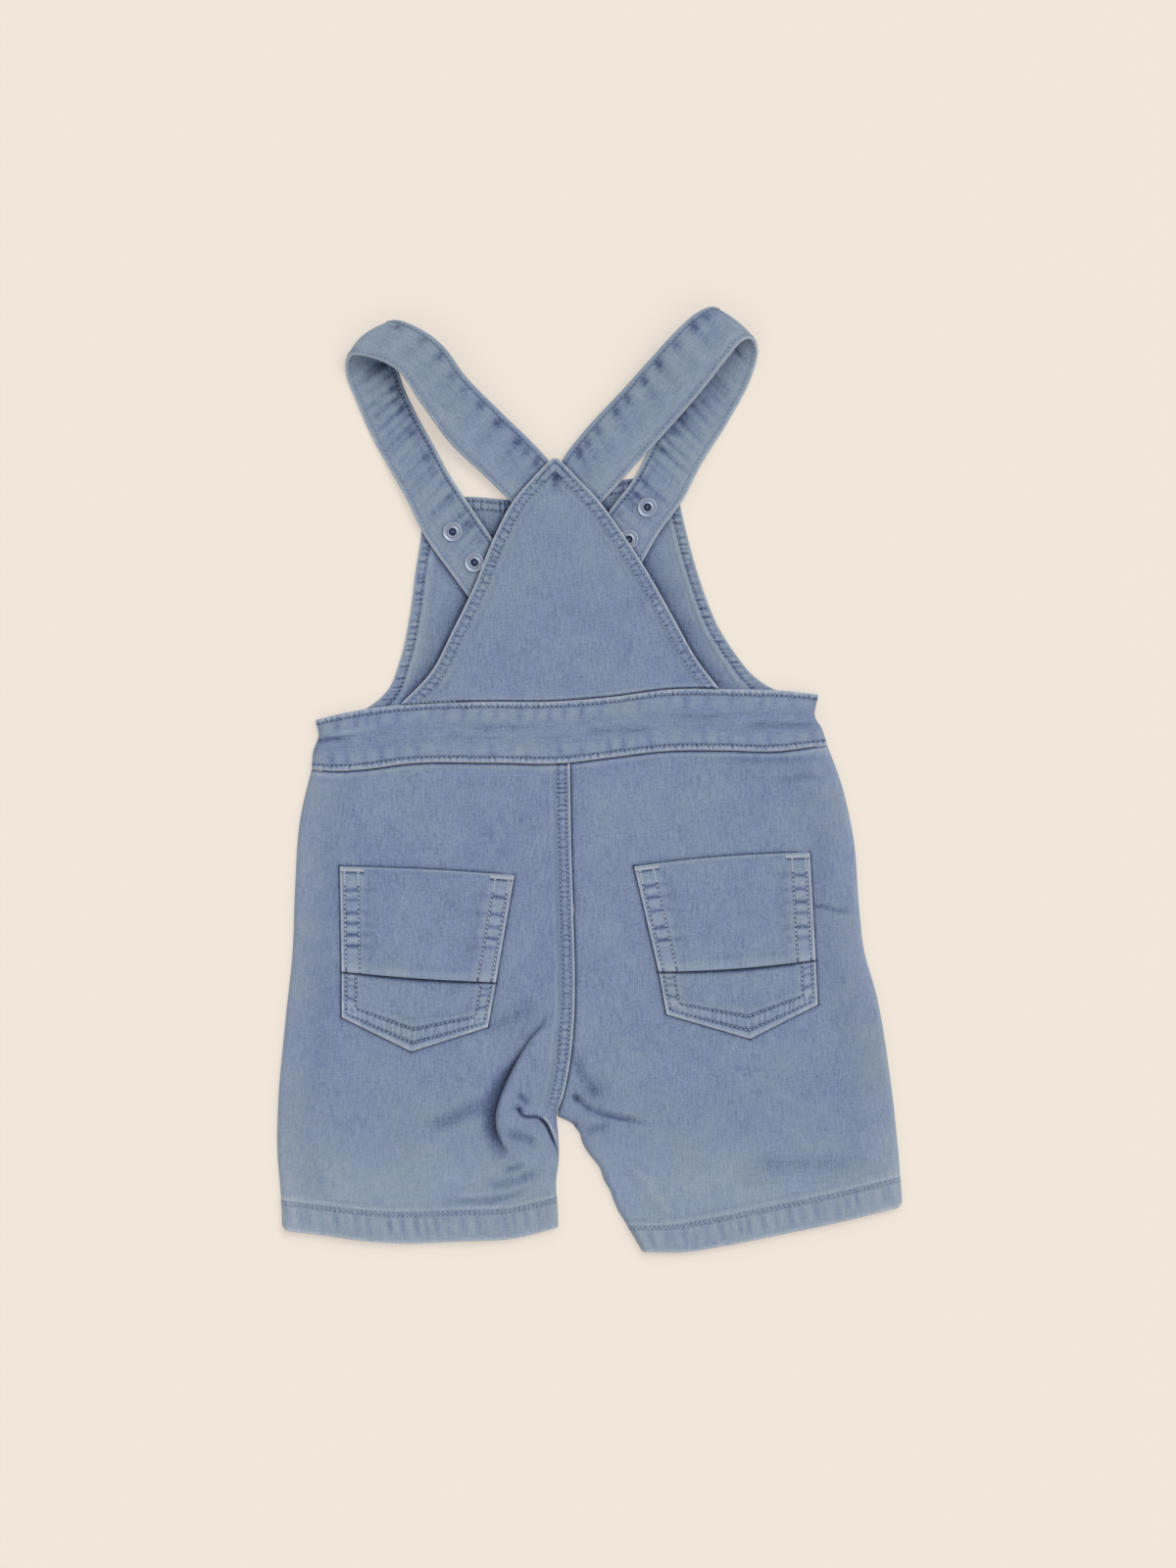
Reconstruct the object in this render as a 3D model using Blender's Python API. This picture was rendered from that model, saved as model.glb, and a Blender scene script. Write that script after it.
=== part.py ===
"""Toddler's denim short overalls, lying flat and face down, so that the back shows.

+Z is up, +Y runs from the hems to the shoulder straps, and +X is to the right as the back is looked at.
The front panels lie on the ground. The straps lie on them, fold over at the shoulders and come back to the
back bib, which lies over their ends. Lengths in the tables are millimetres, and every piece is turned into
metres when its mesh is made.
"""
from collections import namedtuple
from math import pi

import bpy
import numpy as np

MM = 0.001

# ---- cloth and how the layers lie on each other
GAP = 0.3                # between pieces that are sewn or lie together
WALL = 1.2               # one layer of denim with its lie
HEM_EXTRA = 0.8          # what a turned hem or a lapped seam adds
HEM_HEIGHT = 14.0        # turned-up leg hem
EDGE_BAND = 6.5          # double-stitched hem round a bib
STEP = 0.7               # run of the small step beside a hem
LAP = 7.5                # lapped seat seam
FRONT_EXTRA = 0.6        # hem of a front panel, which is pressed flat
LEG_FACE = 4.1           # outer face of the back legs above the ground
BAND_FACE = 4.9          # of the back waistband
BIB_FACE_LOW = 4.9       # of the back bib beside the waistband
BIB_FACE_HIGH = 6.3      # of the back bib where it lies over the strap ends
BAND_WALL = 2.0          # waistband, two layers
ROLL = 3.5               # width of the rounded side edge
FRONT_INSET = 2.6        # front panels stay inside the rounded edge by this much
NOTCH = 3.4              # the waistband's ends bend in by this much

# ---- straps, rings and studs
STRAP_WALL = 1.8
STRAP_ROWS = 46
STRAP_COLUMNS = 4
FRONT_RUN = 1 / 3        # share of a strap that surely lies in front of its shoulder fold
RING_HOLE = 2.0          # radius of the hole that takes the stud
RING_HEIGHT = 0.8
# half section of a ring, from its hole outwards and back over its top: distance from the middle, height
RING_PROFILE = [(RING_HOLE, 0), (4.7, 0), (5.0, 0.3), (4.5, RING_HEIGHT), (3.2, 0.45), (2.6, RING_HEIGHT),
                (RING_HOLE, 0.6)]
STUD_RADIUS = 5.0
STUD_CAP = 0.5
STUD_EDGE = 0.2          # chamfer of the cap
STUD_POST = 1.5
POST_EDGE = 0.4          # chamfer of the post
BORE_REACH = 3.0         # a cutter runs this far to both sides of what it bores
TURNED_SIDES = 20

# ---- outlines, each a smooth curve through a few (x, y) places
BAND_TOP = [(-140, 29.8), (-128.5, 32.8), (-108.5, 36.3), (-86, 38.3), (-51, 39.3), (-21, 39.3), (9, 41.5),
            (44, 45.7), (74, 45.5), (99, 44.8), (116.5, 42.8)]
BAND_LOW = [(-142, 4.8), (-131, 3.8), (-113.5, 4.8), (-93.5, 7.5), (-51, 8), (-13.5, 7.8), (9, 10.5),
            (39, 14), (69, 14.3), (94, 13.8), (121, 17.2)]
BAND_LEFT_END = [(-140, 29.8), (-138.5, 21.5), (-141, 14.5), (-142, 4.8)]
BAND_RIGHT_END = [(116.5, 42.8), (115.2, 30.5), (117.8, 26.5), (121, 17.2)]

LEFT_SIDE = [(-142, 4.8), (-147.5, -18.8), (-150.5, -57.8), (-151.5, -85.3), (-155.5, -125.3),
             (-159, -165.3), (-159.5, -187.8), (-157.5, -215.3), (-157, -230.2)]
RIGHT_SIDE = [(121, 17.2), (127.5, -0.3), (134, -27.8), (137.5, -67.8), (139.5, -85.8), (146.5, -111.8),
              (152.5, -147.8), (157.5, -192.8), (159.5, -218.2)]
LEFT_HEM = [(-157, -230.2), (-136, -232.8), (-116, -235.5), (-96, -236.8), (-66, -235.8), (-38.5, -234.3),
            (-16, -228.7)]
RIGHT_HEM = [(26.5, -241.2), (49, -241.2), (69, -238), (99, -232), (124, -226.8), (159.5, -218.2)]
SEAT = [(-10, 7.8), (-9.5, -27.8), (-8.2, -72.8), (-7.5, -102.8), (-8.2, -127.8), (-11, -150.3),
        (-14.5, -165.3), (-17, -172)]
LEFT_INSEAM = [(-17, -172), (-16, -182.8), (-15.7, -192.8), (-17.2, -207.8), (-16.5, -217), (-16, -228.7)]
RIGHT_INSEAM = [(-17, -172), (-7, -177.8), (-3.5, -186.8), (5, -199.8), (11, -213.3), (19, -228.3),
                (26.5, -241.2)]
FRONT_CENTRE = [(-6, 34), (-8, -60), (-17, -169)]
FRONT_WAIST = [(-140, 28.8), (116, 40.2)]      # straight seam under the waistband

# ---- legs: inwards is the sign of x from the side seam to the middle, and the rest are the curves above
Leg = namedtuple("Leg", "inwards side band_end inseam hem")
LEGS = {
    "left": Leg(1, LEFT_SIDE, BAND_LEFT_END, LEFT_INSEAM, LEFT_HEM),
    "right": Leg(-1, RIGHT_SIDE, BAND_RIGHT_END, RIGHT_INSEAM, RIGHT_HEM),
}
FOLDS_BEGIN = 0.45       # share of a back leg's edge where its rows get closer
CROTCH_AT_SIDE = 0.74    # share of the side seam at the height of the crotch
BACK_LEG_ROWS = (7, 9, 7, 1, 2)
FRONT_LEG_ROWS = (9, 4, 1, 1)
ROLL_IN = 2.0            # rows below the crotch in which the inseam rolls down
CROTCH_STEP = 3.9        # a front inseam starts this far below the centre seam's end
BAND_BLEND = 12          # points of a side seam passed over where a front leg leaves the waistband's end

BIB_LEFT = [(-19.5, 163), (-28.5, 153.8), (-39.5, 140.8), (-48, 124.8), (-59.5, 96.8), (-69.5, 76.3),
            (-81, 54.3), (-97, 37.3)]
BIB_RIGHT = [(-16, 163), (-8.5, 155.3), (5.5, 140.3), (16, 125.8), (29.5, 104.8), (42, 82.8), (55, 59.8),
             (65.5, 46.2)]
BIB_TIP = 0.06           # share of a slanting edge in which the bib's tip opens out
BIB_TIP_HEM = 0.3        # most of the width that a hem takes near the tip
BIB_TIP_STEP = 0.05      # and most that its step takes
FRONT_BIB_TOP = [(-86, 142.7), (-61, 143.7), (-41, 142.3), (19, 152.7), (44, 154.7)]
FRONT_BIB_LEFT = [(-86, 142.7), (-86, 125.8), (-89, 104.8), (-92, 82.3), (-97, 59.8), (-103, 45.3),
                  (-111, 37.8), (-124, 31.2)]
FRONT_BIB_RIGHT = [(44, 154.7), (46, 139.8), (50, 122.3), (57, 98.3), (65.5, 77.3), (74, 63.8), (83, 52.8),
                   (92.5, 46.3), (104, 42.6)]

# ---- folds of the back legs: a path, how high the crest is, and how far its two sides run out, on the left
# and on the right of someone who walks along the path
Fold = namedtuple("Fold", "path height left right")
FOLDS = [
    Fold([(-20, -115), (-30, -139), (-40, -155), (-45, -172), (-40, -194)], 5.5, 24.0, 5.0),
    Fold([(-36, -165), (-31, -171), (-22, -173)], -1.2, 4.0, 4.0),
    Fold([(-42, -178), (-30, -183), (-22, -188)], -0.9, 5.0, 5.0),
    Fold([(-74, -216), (-48, -209), (-20, -207)], 0.8, 7.0, 7.0),
    Fold([(-10, -158), (0.5, -169.8), (14, -173.3), (33, -178)], -1.3, 5.0, 6.0),
    Fold([(-9, -170), (6, -176), (20, -180)], 1.4, 5.0, 6.0),
    Fold([(112, -64), (125, -66), (137, -68)], -1.0, 4.0, 5.0),
]
# low waves of the whole cloth: size, then period and phase along x and along y
Wave = namedtuple("Wave", "size x_period x_phase y_period y_phase")
WAVES = [Wave(0.30, 47.0, 0.4, 90.0, 1.1), Wave(0.22, 29.0, 2.0, 61.0, 0.3)]

# ---- pockets: corners of the upper part, then what hangs below its seam
Pocket = namedtuple("Pocket", "top_left top_right seam_right seam_left low_right point low_left bow")
POCKETS = {
    "left": Pocket((-127.5, -44.8), (-38.5, -49.3), (-48, -103.8), (-126.5, -98.3),
                   (-52, -126.3), (-91, -138.8), (-126.5, -121.3), 0.8),
    "right": Pocket((22.5, -44.8), (112, -37.8), (115, -92.3), (35, -98.3),
                    (116, -114.8), (81.5, -132.3), (39, -119.8), 1.5),
}
POCKET_SEAM = 4.0        # turned edge of the upper part over the lower one

# ---- straps: sections from the free end, up the front, round the shoulder fold and back to the bib.
# a is the edge that starts on the outside, b the other one, and z is the middle of the cloth
Section = namedtuple("Section", "ax ay bx by z")
STRAPS = {
    "left": [
        Section(-55.5, 83.8, -31.5, 97.8, 2.6),
        Section(-71, 104.8, -47.5, 119.3, 2.6),
        Section(-85, 124.8, -59.5, 136.8, 3.1),
        Section(-93, 141.3, -70, 152.5, 3.2),
        Section(-102, 157.3, -79.5, 169.8, 2.1),
        Section(-112, 175.8, -88.5, 186, 1.02),
        Section(-119, 191.8, -95, 200, 1.02),
        Section(-123.3, 202.3, -98.8, 212.5, 1.1),
        Section(-124.5, 208.3, -101.5, 225, 2.8),
        Section(-123.8, 212.6, -100.5, 232.5, 6.8),
        Section(-121.5, 215, -96, 232.6, 10.6),
        Section(-116.5, 215, -88.5, 229.6, 12.9),
        Section(-108.5, 213, -81, 225.3, 13.3),
        Section(-100, 209, -75, 220.3, 12.8),
        Section(-86.5, 191.3, -63.5, 205, 10.6),
        Section(-71, 170.3, -45, 186.3, 7.4),
        Section(-53, 153.3, -28.5, 170.3, 5.0),
        Section(-39.5, 140.3, -21, 162, 4.0),
        Section(-34.5, 136, -19.5, 159.5, 3.9),
    ],
    "right": [
        Section(19.5, 95.3, -4.5, 109.8, 2.6),
        Section(27, 110.8, 2, 123.8, 2.6),
        Section(35, 124.8, 10, 136.8, 2.8),
        Section(47, 141.3, 21.5, 151.8, 3.2),
        Section(55.5, 157.8, 30.5, 168.8, 2.6),
        Section(71.5, 183.8, 46.5, 197.8, 1.02),
        Section(81, 201.3, 55, 213, 1.05),
        Section(84.7, 212.3, 60.5, 226.5, 1.6),
        Section(85.5, 218.3, 63.3, 235.3, 4.0),
        Section(84, 222.3, 62.8, 239.6, 7.6),
        Section(81, 223.7, 59, 239.2, 11.0),
        Section(76.5, 221.5, 53, 235.8, 13.0),
        Section(70, 213.8, 45.5, 229.2, 13.2),
        Section(56.5, 196.8, 31.5, 214.3, 10.9),
        Section(39, 176.8, 16.5, 197.8, 7.6),
        Section(21.5, 157.8, -1, 179.3, 5.1),
        Section(5.5, 140.3, -13, 164, 4.0),
        Section(1, 136, -15, 160.5, 3.9),
    ],
}
FOLD_BOW = {"left": 3.8, "right": 1.8}   # how far the middle of a shoulder fold stands out past its ends
RING_PLACES = {"left": [(-70, 125.8), (-59, 109.8)], "right": [(29.3, 138.3), (19.5, 121.8)]}

# ---- finishes: base colour (linear), roughness, metallic
DENIM_BACK = (0.212, 0.282, 0.418)
DENIM_FRONT = (0.180, 0.245, 0.375)
METAL = (0.62, 0.62, 0.62)


# ------------------------------------------------------------------ curves and surfaces

def smooth(knots, count=160):
    """A curve through the knots: cubic Hermite spans on chord length, read at even steps of it."""
    knots = np.asarray(knots, float)
    chord = np.concatenate([[0.0], np.cumsum(np.linalg.norm(np.diff(knots, axis=0), axis=1))])
    slope = np.gradient(knots, chord, axis=0, edge_order=1)
    where = np.linspace(0.0, chord[-1], count)
    span = np.clip(np.searchsorted(chord, where, side="right") - 1, 0, len(knots) - 2)
    width = (chord[span + 1] - chord[span])[:, None]
    t = (where[:, None] - chord[span][:, None]) / width
    return ((2 * t**3 - 3 * t**2 + 1) * knots[span] + (t**3 - 2 * t**2 + t) * width * slope[span]
            + (3 * t**2 - 2 * t**3) * knots[span + 1] + (t**3 - t**2) * width * slope[span + 1])


def length(curve):
    return np.linalg.norm(np.diff(curve, axis=0), axis=1).sum()


def at(curve, share):
    """Points of a curve at shares of its length, from 0 to 1."""
    run = np.concatenate([[0.0], np.cumsum(np.linalg.norm(np.diff(curve, axis=0), axis=1))])
    run /= run[-1]
    return np.stack([np.interp(share, run, curve[:, k]) for k in range(curve.shape[1])], axis=-1)


def moved_in(curve, distance):
    """A plane curve moved to its left by a distance, square to its own run."""
    run = np.gradient(curve, axis=0)
    run /= np.linalg.norm(run, axis=1)[:, None]
    return curve + distance * np.stack([-run[:, 1], run[:, 0]], axis=1)


def stretch(curve, x_from, x_to, lowered=0.0):
    """The part of a left-to-right curve between two x values, lowered a little. It goes either way."""
    x = np.linspace(x_from, x_to, 90)
    return np.stack([x, np.interp(x, curve[:, 0], curve[:, 1]) - lowered], axis=1)


def joined(*curves):
    """Curves one after another, as one curve with even steps."""
    return at(np.concatenate(curves), np.linspace(0, 1, 500))


def between(curve, start, end):
    """A curve moved so that it runs from start to end, with what its own ends are off faded along it."""
    t = np.linspace(0, 1, len(curve))[:, None]
    return curve + (1 - t) * (start - curve[0]) + t * (end - curve[-1])


def hung(curve, seam):
    """What a downward curve has below a seam, with its first point on the seam."""
    below = curve[curve[:, 1] < np.interp(curve[:, 0], seam[:, 0], seam[:, 1])]
    start = (below[0, 0], np.interp(below[0, 0], seam[:, 0], seam[:, 1]))
    return np.concatenate([[start], below[1:]])


def spread(stops, counts):
    """Numbers that run from stop to stop, each stretch in its own count of even steps."""
    parts = [np.linspace(a, b, n + 1)[:-1] for a, b, n in zip(stops[:-1], stops[1:], counts)]
    return np.concatenate(parts + [[stops[-1]]])


def ease(t):
    t = np.clip(t, 0.0, 1.0)
    return t * t * (3 - 2 * t)


def patch(left, right, top, low, left_share, right_share, left_edge, right_edge, middle):
    """A grid between four edge curves (a Coons patch), with columns at fixed distances from its sides.

    Point (u, v) = the row between the left and right edges, plus the bow of the top edge, faded down, and of
    the lower edge, faded up. Returns the grid, and each point's distance from the left and the right edge.
    """
    rows_left = at(left, left_share)
    rows_right = at(right, right_share)
    width = np.linalg.norm(rows_right - rows_left, axis=1)[:, None]
    inner = np.linspace(0.0, 1.0, middle + 2)[1:-1]
    near = np.asarray(left_edge)[None, :] / width
    far = 1.0 - np.asarray(right_edge)[None, ::-1] / width
    u = np.hstack([near, near[:, -1:] + (far[:, :1] - near[:, -1:]) * inner, far])
    v = (0.5 * (left_share + right_share))[:, None]
    grid = (1 - u)[..., None] * rows_left[:, None] + u[..., None] * rows_right[:, None]
    top_bow = at(top, u) - ((1 - u)[..., None] * top[0] + u[..., None] * top[-1])
    low_bow = at(low, u) - ((1 - u)[..., None] * low[0] + u[..., None] * low[-1])
    grid = grid + (1 - v)[..., None] * top_bow + v[..., None] * low_bow
    return grid, u * width, (1 - u) * width


def solid(name, outer, inner, material):
    """One closed wall between two grids of points, given in millimetres."""
    rows, columns = outer.shape[:2]
    points = np.concatenate([outer.reshape(-1, 3), inner.reshape(-1, 3)]) * MM
    index = np.arange(rows * columns).reshape(rows, columns)
    quads = np.stack([index[:-1, :-1], index[1:, :-1], index[1:, 1:], index[:-1, 1:]], axis=-1).reshape(-1, 4)
    under = quads[:, ::-1] + rows * columns
    rim = np.concatenate([index[:, 0], index[-1, 1:], index[-2::-1, -1], index[0, -2:0:-1]])
    after = np.roll(rim, -1)
    side = np.stack([rim, rim + rows * columns, after + rows * columns, after], axis=1)
    mesh = bpy.data.meshes.new(name)
    mesh.from_pydata(points.tolist(), [], np.concatenate([quads, under, side]).tolist())
    mesh.materials.append(material)
    mesh.update()
    piece = bpy.data.objects.new(name, mesh)
    bpy.context.collection.objects.link(piece)
    return piece


def turned(name, profile, centre, axis, material):
    """A turned solid: a closed (radius, height) profile carried round an axis. A radius of 0 is a pole."""
    axis = axis / np.linalg.norm(axis)
    side = np.cross(axis, (0.0, 1.0, 0.0))
    side /= np.linalg.norm(side)
    other = np.cross(axis, side)
    turn = np.linspace(0, 2 * pi, TURNED_SIDES, endpoint=False)
    points, rings = [], []
    for radius, height in profile:
        middle = centre + height * axis
        if radius == 0:
            rings.append([len(points)] * TURNED_SIDES)
            points.append(middle)
            continue
        rings.append(list(range(len(points), len(points) + TURNED_SIDES)))
        points.extend(middle + radius * (np.cos(turn)[:, None] * side + np.sin(turn)[:, None] * other))
    closed = profile[0][0] > 0
    faces = []
    for low, high in zip(rings, rings[1:] + (rings[:1] if closed else [])):
        for k in range(TURNED_SIDES):
            n = (k + 1) % TURNED_SIDES
            corners = [low[k], low[n], high[n], high[k]]
            faces.append([c for i, c in enumerate(corners) if c not in corners[:i]])
    mesh = bpy.data.meshes.new(name)
    mesh.from_pydata((np.array(points) * MM).tolist(), [], faces)
    if material:
        mesh.materials.append(material)
    mesh.update()
    piece = bpy.data.objects.new(name, mesh)
    bpy.context.collection.objects.link(piece)
    return piece


def bored(piece, cutters):
    """Takes the cutters out of a piece."""
    for cutter in cutters:
        cutter.hide_render = True
        cutter.display_type = "WIRE"
        cut = piece.modifiers.new("bore", "BOOLEAN")
        cut.operation = "DIFFERENCE"
        cut.object = cutter


# ------------------------------------------------------------------ how the back lies

def fold_height(x, y, fold):
    """A crest along a path, which runs out on both sides and towards both ends."""
    path = smooth(fold.path, 60)
    run = np.gradient(path, axis=0)
    away = np.stack([x, y], axis=-1)[..., None, :] - path
    distance = np.linalg.norm(away, axis=-1)
    nearest = distance.argmin(axis=-1)
    from_path = np.take_along_axis(away, nearest[..., None, None], axis=-2)[..., 0, :]
    heading = run[nearest]
    on_left = heading[..., 0] * from_path[..., 1] - heading[..., 1] * from_path[..., 0] > 0
    reach = np.where(on_left, fold.left, fold.right)
    along = nearest / (len(path) - 1)
    ends = ease(along / 0.3) * ease((1 - along) / 0.3)
    return fold.height * ends * (1 - ease(distance.min(axis=-1) / reach))


def leg_face(x, y):
    """Height of the outer face of the back legs: a low lie, long soft waves and the folds."""
    z = LEG_FACE + sum(wave.size * np.sin(2 * pi * x / wave.x_period + wave.x_phase)
                       * np.cos(2 * pi * y / wave.y_period + wave.y_phase) for wave in WAVES)
    return z + sum(fold_height(x, y, fold) for fold in FOLDS)


def bib_face(x, y):
    """Height of the back bib's outer face: it climbs from the waistband onto the strap ends."""
    return BIB_FACE_LOW + (BIB_FACE_HIGH - BIB_FACE_LOW) * ease((y - 45) / 40)


def rolled_edge(edge_columns, count, weight):
    """Roll angle of each column from a rounded edge: 0 stands on the ground, a right angle lies flat."""
    angle = np.full((len(weight), count), pi / 2)
    steps = np.linspace(0, pi / 2, edge_columns)
    angle[:, :edge_columns] = pi / 2 + (steps - pi / 2) * np.asarray(weight)[:, None]
    return angle


ROLL_STEPS = 4
ROLL_COLUMNS = ROLL * (1 - np.cos(np.linspace(0, pi / 2, ROLL_STEPS)))


def wall(grid, face, thickness, extra, left_roll, right_roll):
    """Outer and inner points of a wall whose side edges may roll down to the ground.

    On a rolled edge at angle a, the outer face is at sin(a) of its height, and the inner one is one thickness
    inside it along the same angle.
    """
    up = np.sin(left_roll) * np.sin(right_roll)
    along = grid[:, -1:] - grid[:, :1]
    along = along / np.linalg.norm(along, axis=-1)[..., None]
    shift = thickness * (np.cos(left_roll) - np.cos(right_roll))
    outer = np.dstack([grid, (face + extra) * up])
    inner = np.dstack([grid + shift[..., None] * along, (face - thickness) * up])
    return outer, inner


# ------------------------------------------------------------------ the pieces

def material(name, colour, roughness, metallic):
    made = bpy.data.materials.new(name)
    made.use_nodes = True
    shader = made.node_tree.nodes["Principled BSDF"]
    shader.inputs["Base Color"].default_value = (*colour, 1)
    shader.inputs["Roughness"].default_value = roughness
    shader.inputs["Metallic"].default_value = metallic
    return made


def flat_wall(grid, extra):
    """A front panel: it lies on the ground and is thicker where it is hemmed."""
    zero = np.zeros(grid.shape[:2])
    return np.dstack([grid, WALL + extra + zero]), np.dstack([grid, zero])


def front_bib(denim):
    """Front bib, face down, with a hem along its top and round the armholes."""
    left, right = smooth(FRONT_BIB_LEFT), smooth(FRONT_BIB_RIGHT)
    low = stretch(np.array(FRONT_WAIST), left[-1, 0], right[-1, 0])
    left[-1], right[-1] = low[0], low[-1]
    tall = length(left)
    share = spread([0, EDGE_BAND / tall, (EDGE_BAND + STEP) / tall, 1], [1, 1, 15])
    edge = [0, EDGE_BAND, EDGE_BAND + STEP]
    grid, from_left, from_right = patch(left, right, smooth(FRONT_BIB_TOP), low, share, share, edge, edge, 6)
    hemmed = np.zeros(grid.shape[:2])
    hemmed[:2] = 1
    hemmed[:, :2] = 1
    hemmed[:, -2:] = 1
    return solid("front_bib", *flat_wall(grid, FRONT_EXTRA * hemmed), denim)


def in_order(side, outside, inside):
    """What belongs to a leg's outer and inner edge, that of its left edge first."""
    return (outside, inside) if side == "left" else (inside, outside)


def leg_shares(edge, stops, counts):
    """Rows down an edge of a leg: through the stops, then a small step, and the hem."""
    hem = 1 - HEM_HEIGHT / length(edge)
    return spread([0, *stops, hem - STEP / length(edge), hem, 1], counts)


def front_leg(side, denim):
    """Front leg: from the waist seam to the hem, and from the side seam to the centre seam and inseam."""
    leg = LEGS[side]
    waist = np.array(FRONT_WAIST) - (0, GAP)
    centre = smooth(FRONT_CENTRE) - (0.5 * leg.inwards * GAP, 0)
    inseam = moved_in(smooth(leg.inseam), -leg.inwards * FRONT_INSET)
    inside = hung(joined(centre, inseam[inseam[:, 1] < centre[-1, 1] - CROTCH_STEP]), waist)
    band_end = np.array(leg.band_end)[[0, -1]] + (leg.inwards * (FRONT_INSET + NOTCH), 0)
    seam = moved_in(smooth(leg.side), leg.inwards * FRONT_INSET)
    outside = hung(joined(band_end, seam[BAND_BLEND:]), waist)
    left, right = in_order(side, outside, inside)
    top = np.linspace(left[0], right[0], 20)
    hem = between(smooth(leg.hem), left[-1], right[-1])
    stops = [length(centre) / length(inside)]
    shares = in_order(side, leg_shares(outside, stops, FRONT_LEG_ROWS),
                      leg_shares(inside, stops, FRONT_LEG_ROWS))
    grid, _, _ = patch(left, right, top, hem, *shares, [0], [0], 7)
    hemmed = np.zeros(grid.shape[:2])
    hemmed[-1 - FRONT_LEG_ROWS[-1]:] = 1
    return solid(f"front_leg_{side}", *flat_wall(grid, FRONT_EXTRA * hemmed), denim)


def back_waistband(denim):
    """Back waistband: one curved strip of two layers, its ends rolled down at the side seams."""
    share = spread([0, 1], [4])
    grid, _, _ = patch(smooth(BAND_LEFT_END), smooth(BAND_RIGHT_END), smooth(BAND_TOP), smooth(BAND_LOW),
                       share, share, ROLL_COLUMNS, ROLL_COLUMNS, 26)
    count = grid.shape[1]
    ones = np.ones(len(grid))
    left = rolled_edge(ROLL_STEPS, count, ones)
    right = rolled_edge(ROLL_STEPS, count, ones)[:, ::-1]
    return solid("back_waistband", *wall(grid, BAND_FACE, BAND_WALL, 0.0, left, right), denim)


def back_bib(denim):
    """Back bib: a near-triangle with hemmed slanting edges, butted to the waistband."""
    left, right = smooth(BIB_LEFT), smooth(BIB_RIGHT)
    low = stretch(smooth(BAND_TOP), left[-1, 0], right[-1, 0], -GAP)
    left[-1], right[-1] = low[0], low[-1]
    share = spread([0, BIB_TIP, 1], [2, 18])
    rows_left, rows_right = at(left, share), at(right, share)
    width = np.linalg.norm(rows_right - rows_left, axis=1)
    hem = np.minimum(EDGE_BAND / width, BIB_TIP_HEM)
    stepped = hem + np.minimum(STEP / width, BIB_TIP_STEP)
    ends = np.stack([np.zeros(len(share)), hem, stepped, 1 - stepped, 1 - hem, np.ones(len(share))], axis=1)
    u = np.stack([spread(stops, [1, 1, 8, 1, 1]) for stops in ends])
    grid = (1 - u)[..., None] * rows_left[:, None] + u[..., None] * rows_right[:, None]
    bow = at(low, u) - ((1 - u)[..., None] * low[0] + u[..., None] * low[-1])
    grid = grid + (share**2)[:, None, None] * bow
    hemmed = np.zeros(grid.shape[:2])
    hemmed[:, :2] = 1
    hemmed[:, -2:] = 1
    flat = np.full(grid.shape[:2], pi / 2)
    face = bib_face(grid[..., 0], grid[..., 1])
    return solid("back_bib", *wall(grid, face, WALL, HEM_EXTRA * hemmed, flat, flat), denim)


def back_leg(side, denim):
    """Back leg: rolled down at the side seam and inseam. The left one laps over the right one at the seat."""
    leg = LEGS[side]
    half_gap = (0.5 * leg.inwards * GAP, 0)
    seat = smooth(SEAT) - half_gap
    inside = joined(seat, smooth(leg.inseam) - half_gap)
    outside = smooth(leg.side)
    left, right = in_order(side, outside, inside)
    top = stretch(smooth(BAND_LOW), left[0, 0], right[0, 0], GAP)
    left[0], right[0] = top[0], top[-1]
    hem = between(smooth(leg.hem), left[-1], right[-1])
    shares = in_order(side, leg_shares(outside, [FOLDS_BEGIN, CROTCH_AT_SIDE], BACK_LEG_ROWS),
                      leg_shares(inside, [FOLDS_BEGIN, length(seat) / length(inside)], BACK_LEG_ROWS))
    inner_columns = np.concatenate([ROLL_COLUMNS, [LAP, LAP + STEP] if side == "left" else [LAP]])
    columns = in_order(side, ROLL_COLUMNS, inner_columns)
    grid, _, from_right = patch(left, right, top, hem, *shares, *columns, 12)
    rows, count = grid.shape[:2]
    below_crotch = ease((np.arange(rows) - sum(BACK_LEG_ROWS[:2])) / ROLL_IN)
    left_roll, right_roll = in_order(side, rolled_edge(ROLL_STEPS, count, np.ones(rows)),
                                     rolled_edge(ROLL_STEPS, count, below_crotch))
    extra = np.zeros((rows, count))
    extra[-1 - BACK_LEG_ROWS[-1]:] = HEM_EXTRA
    if side == "left":
        lapped = (from_right < LAP + 0.5 * STEP) * (1 - below_crotch)[:, None]
        extra = np.maximum(extra, HEM_EXTRA * lapped)
    face = leg_face(grid[..., 0], grid[..., 1])
    return solid(f"back_leg_{side}", *wall(grid, face, WALL, extra, left_roll, right_roll[:, ::-1]), denim)


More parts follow.
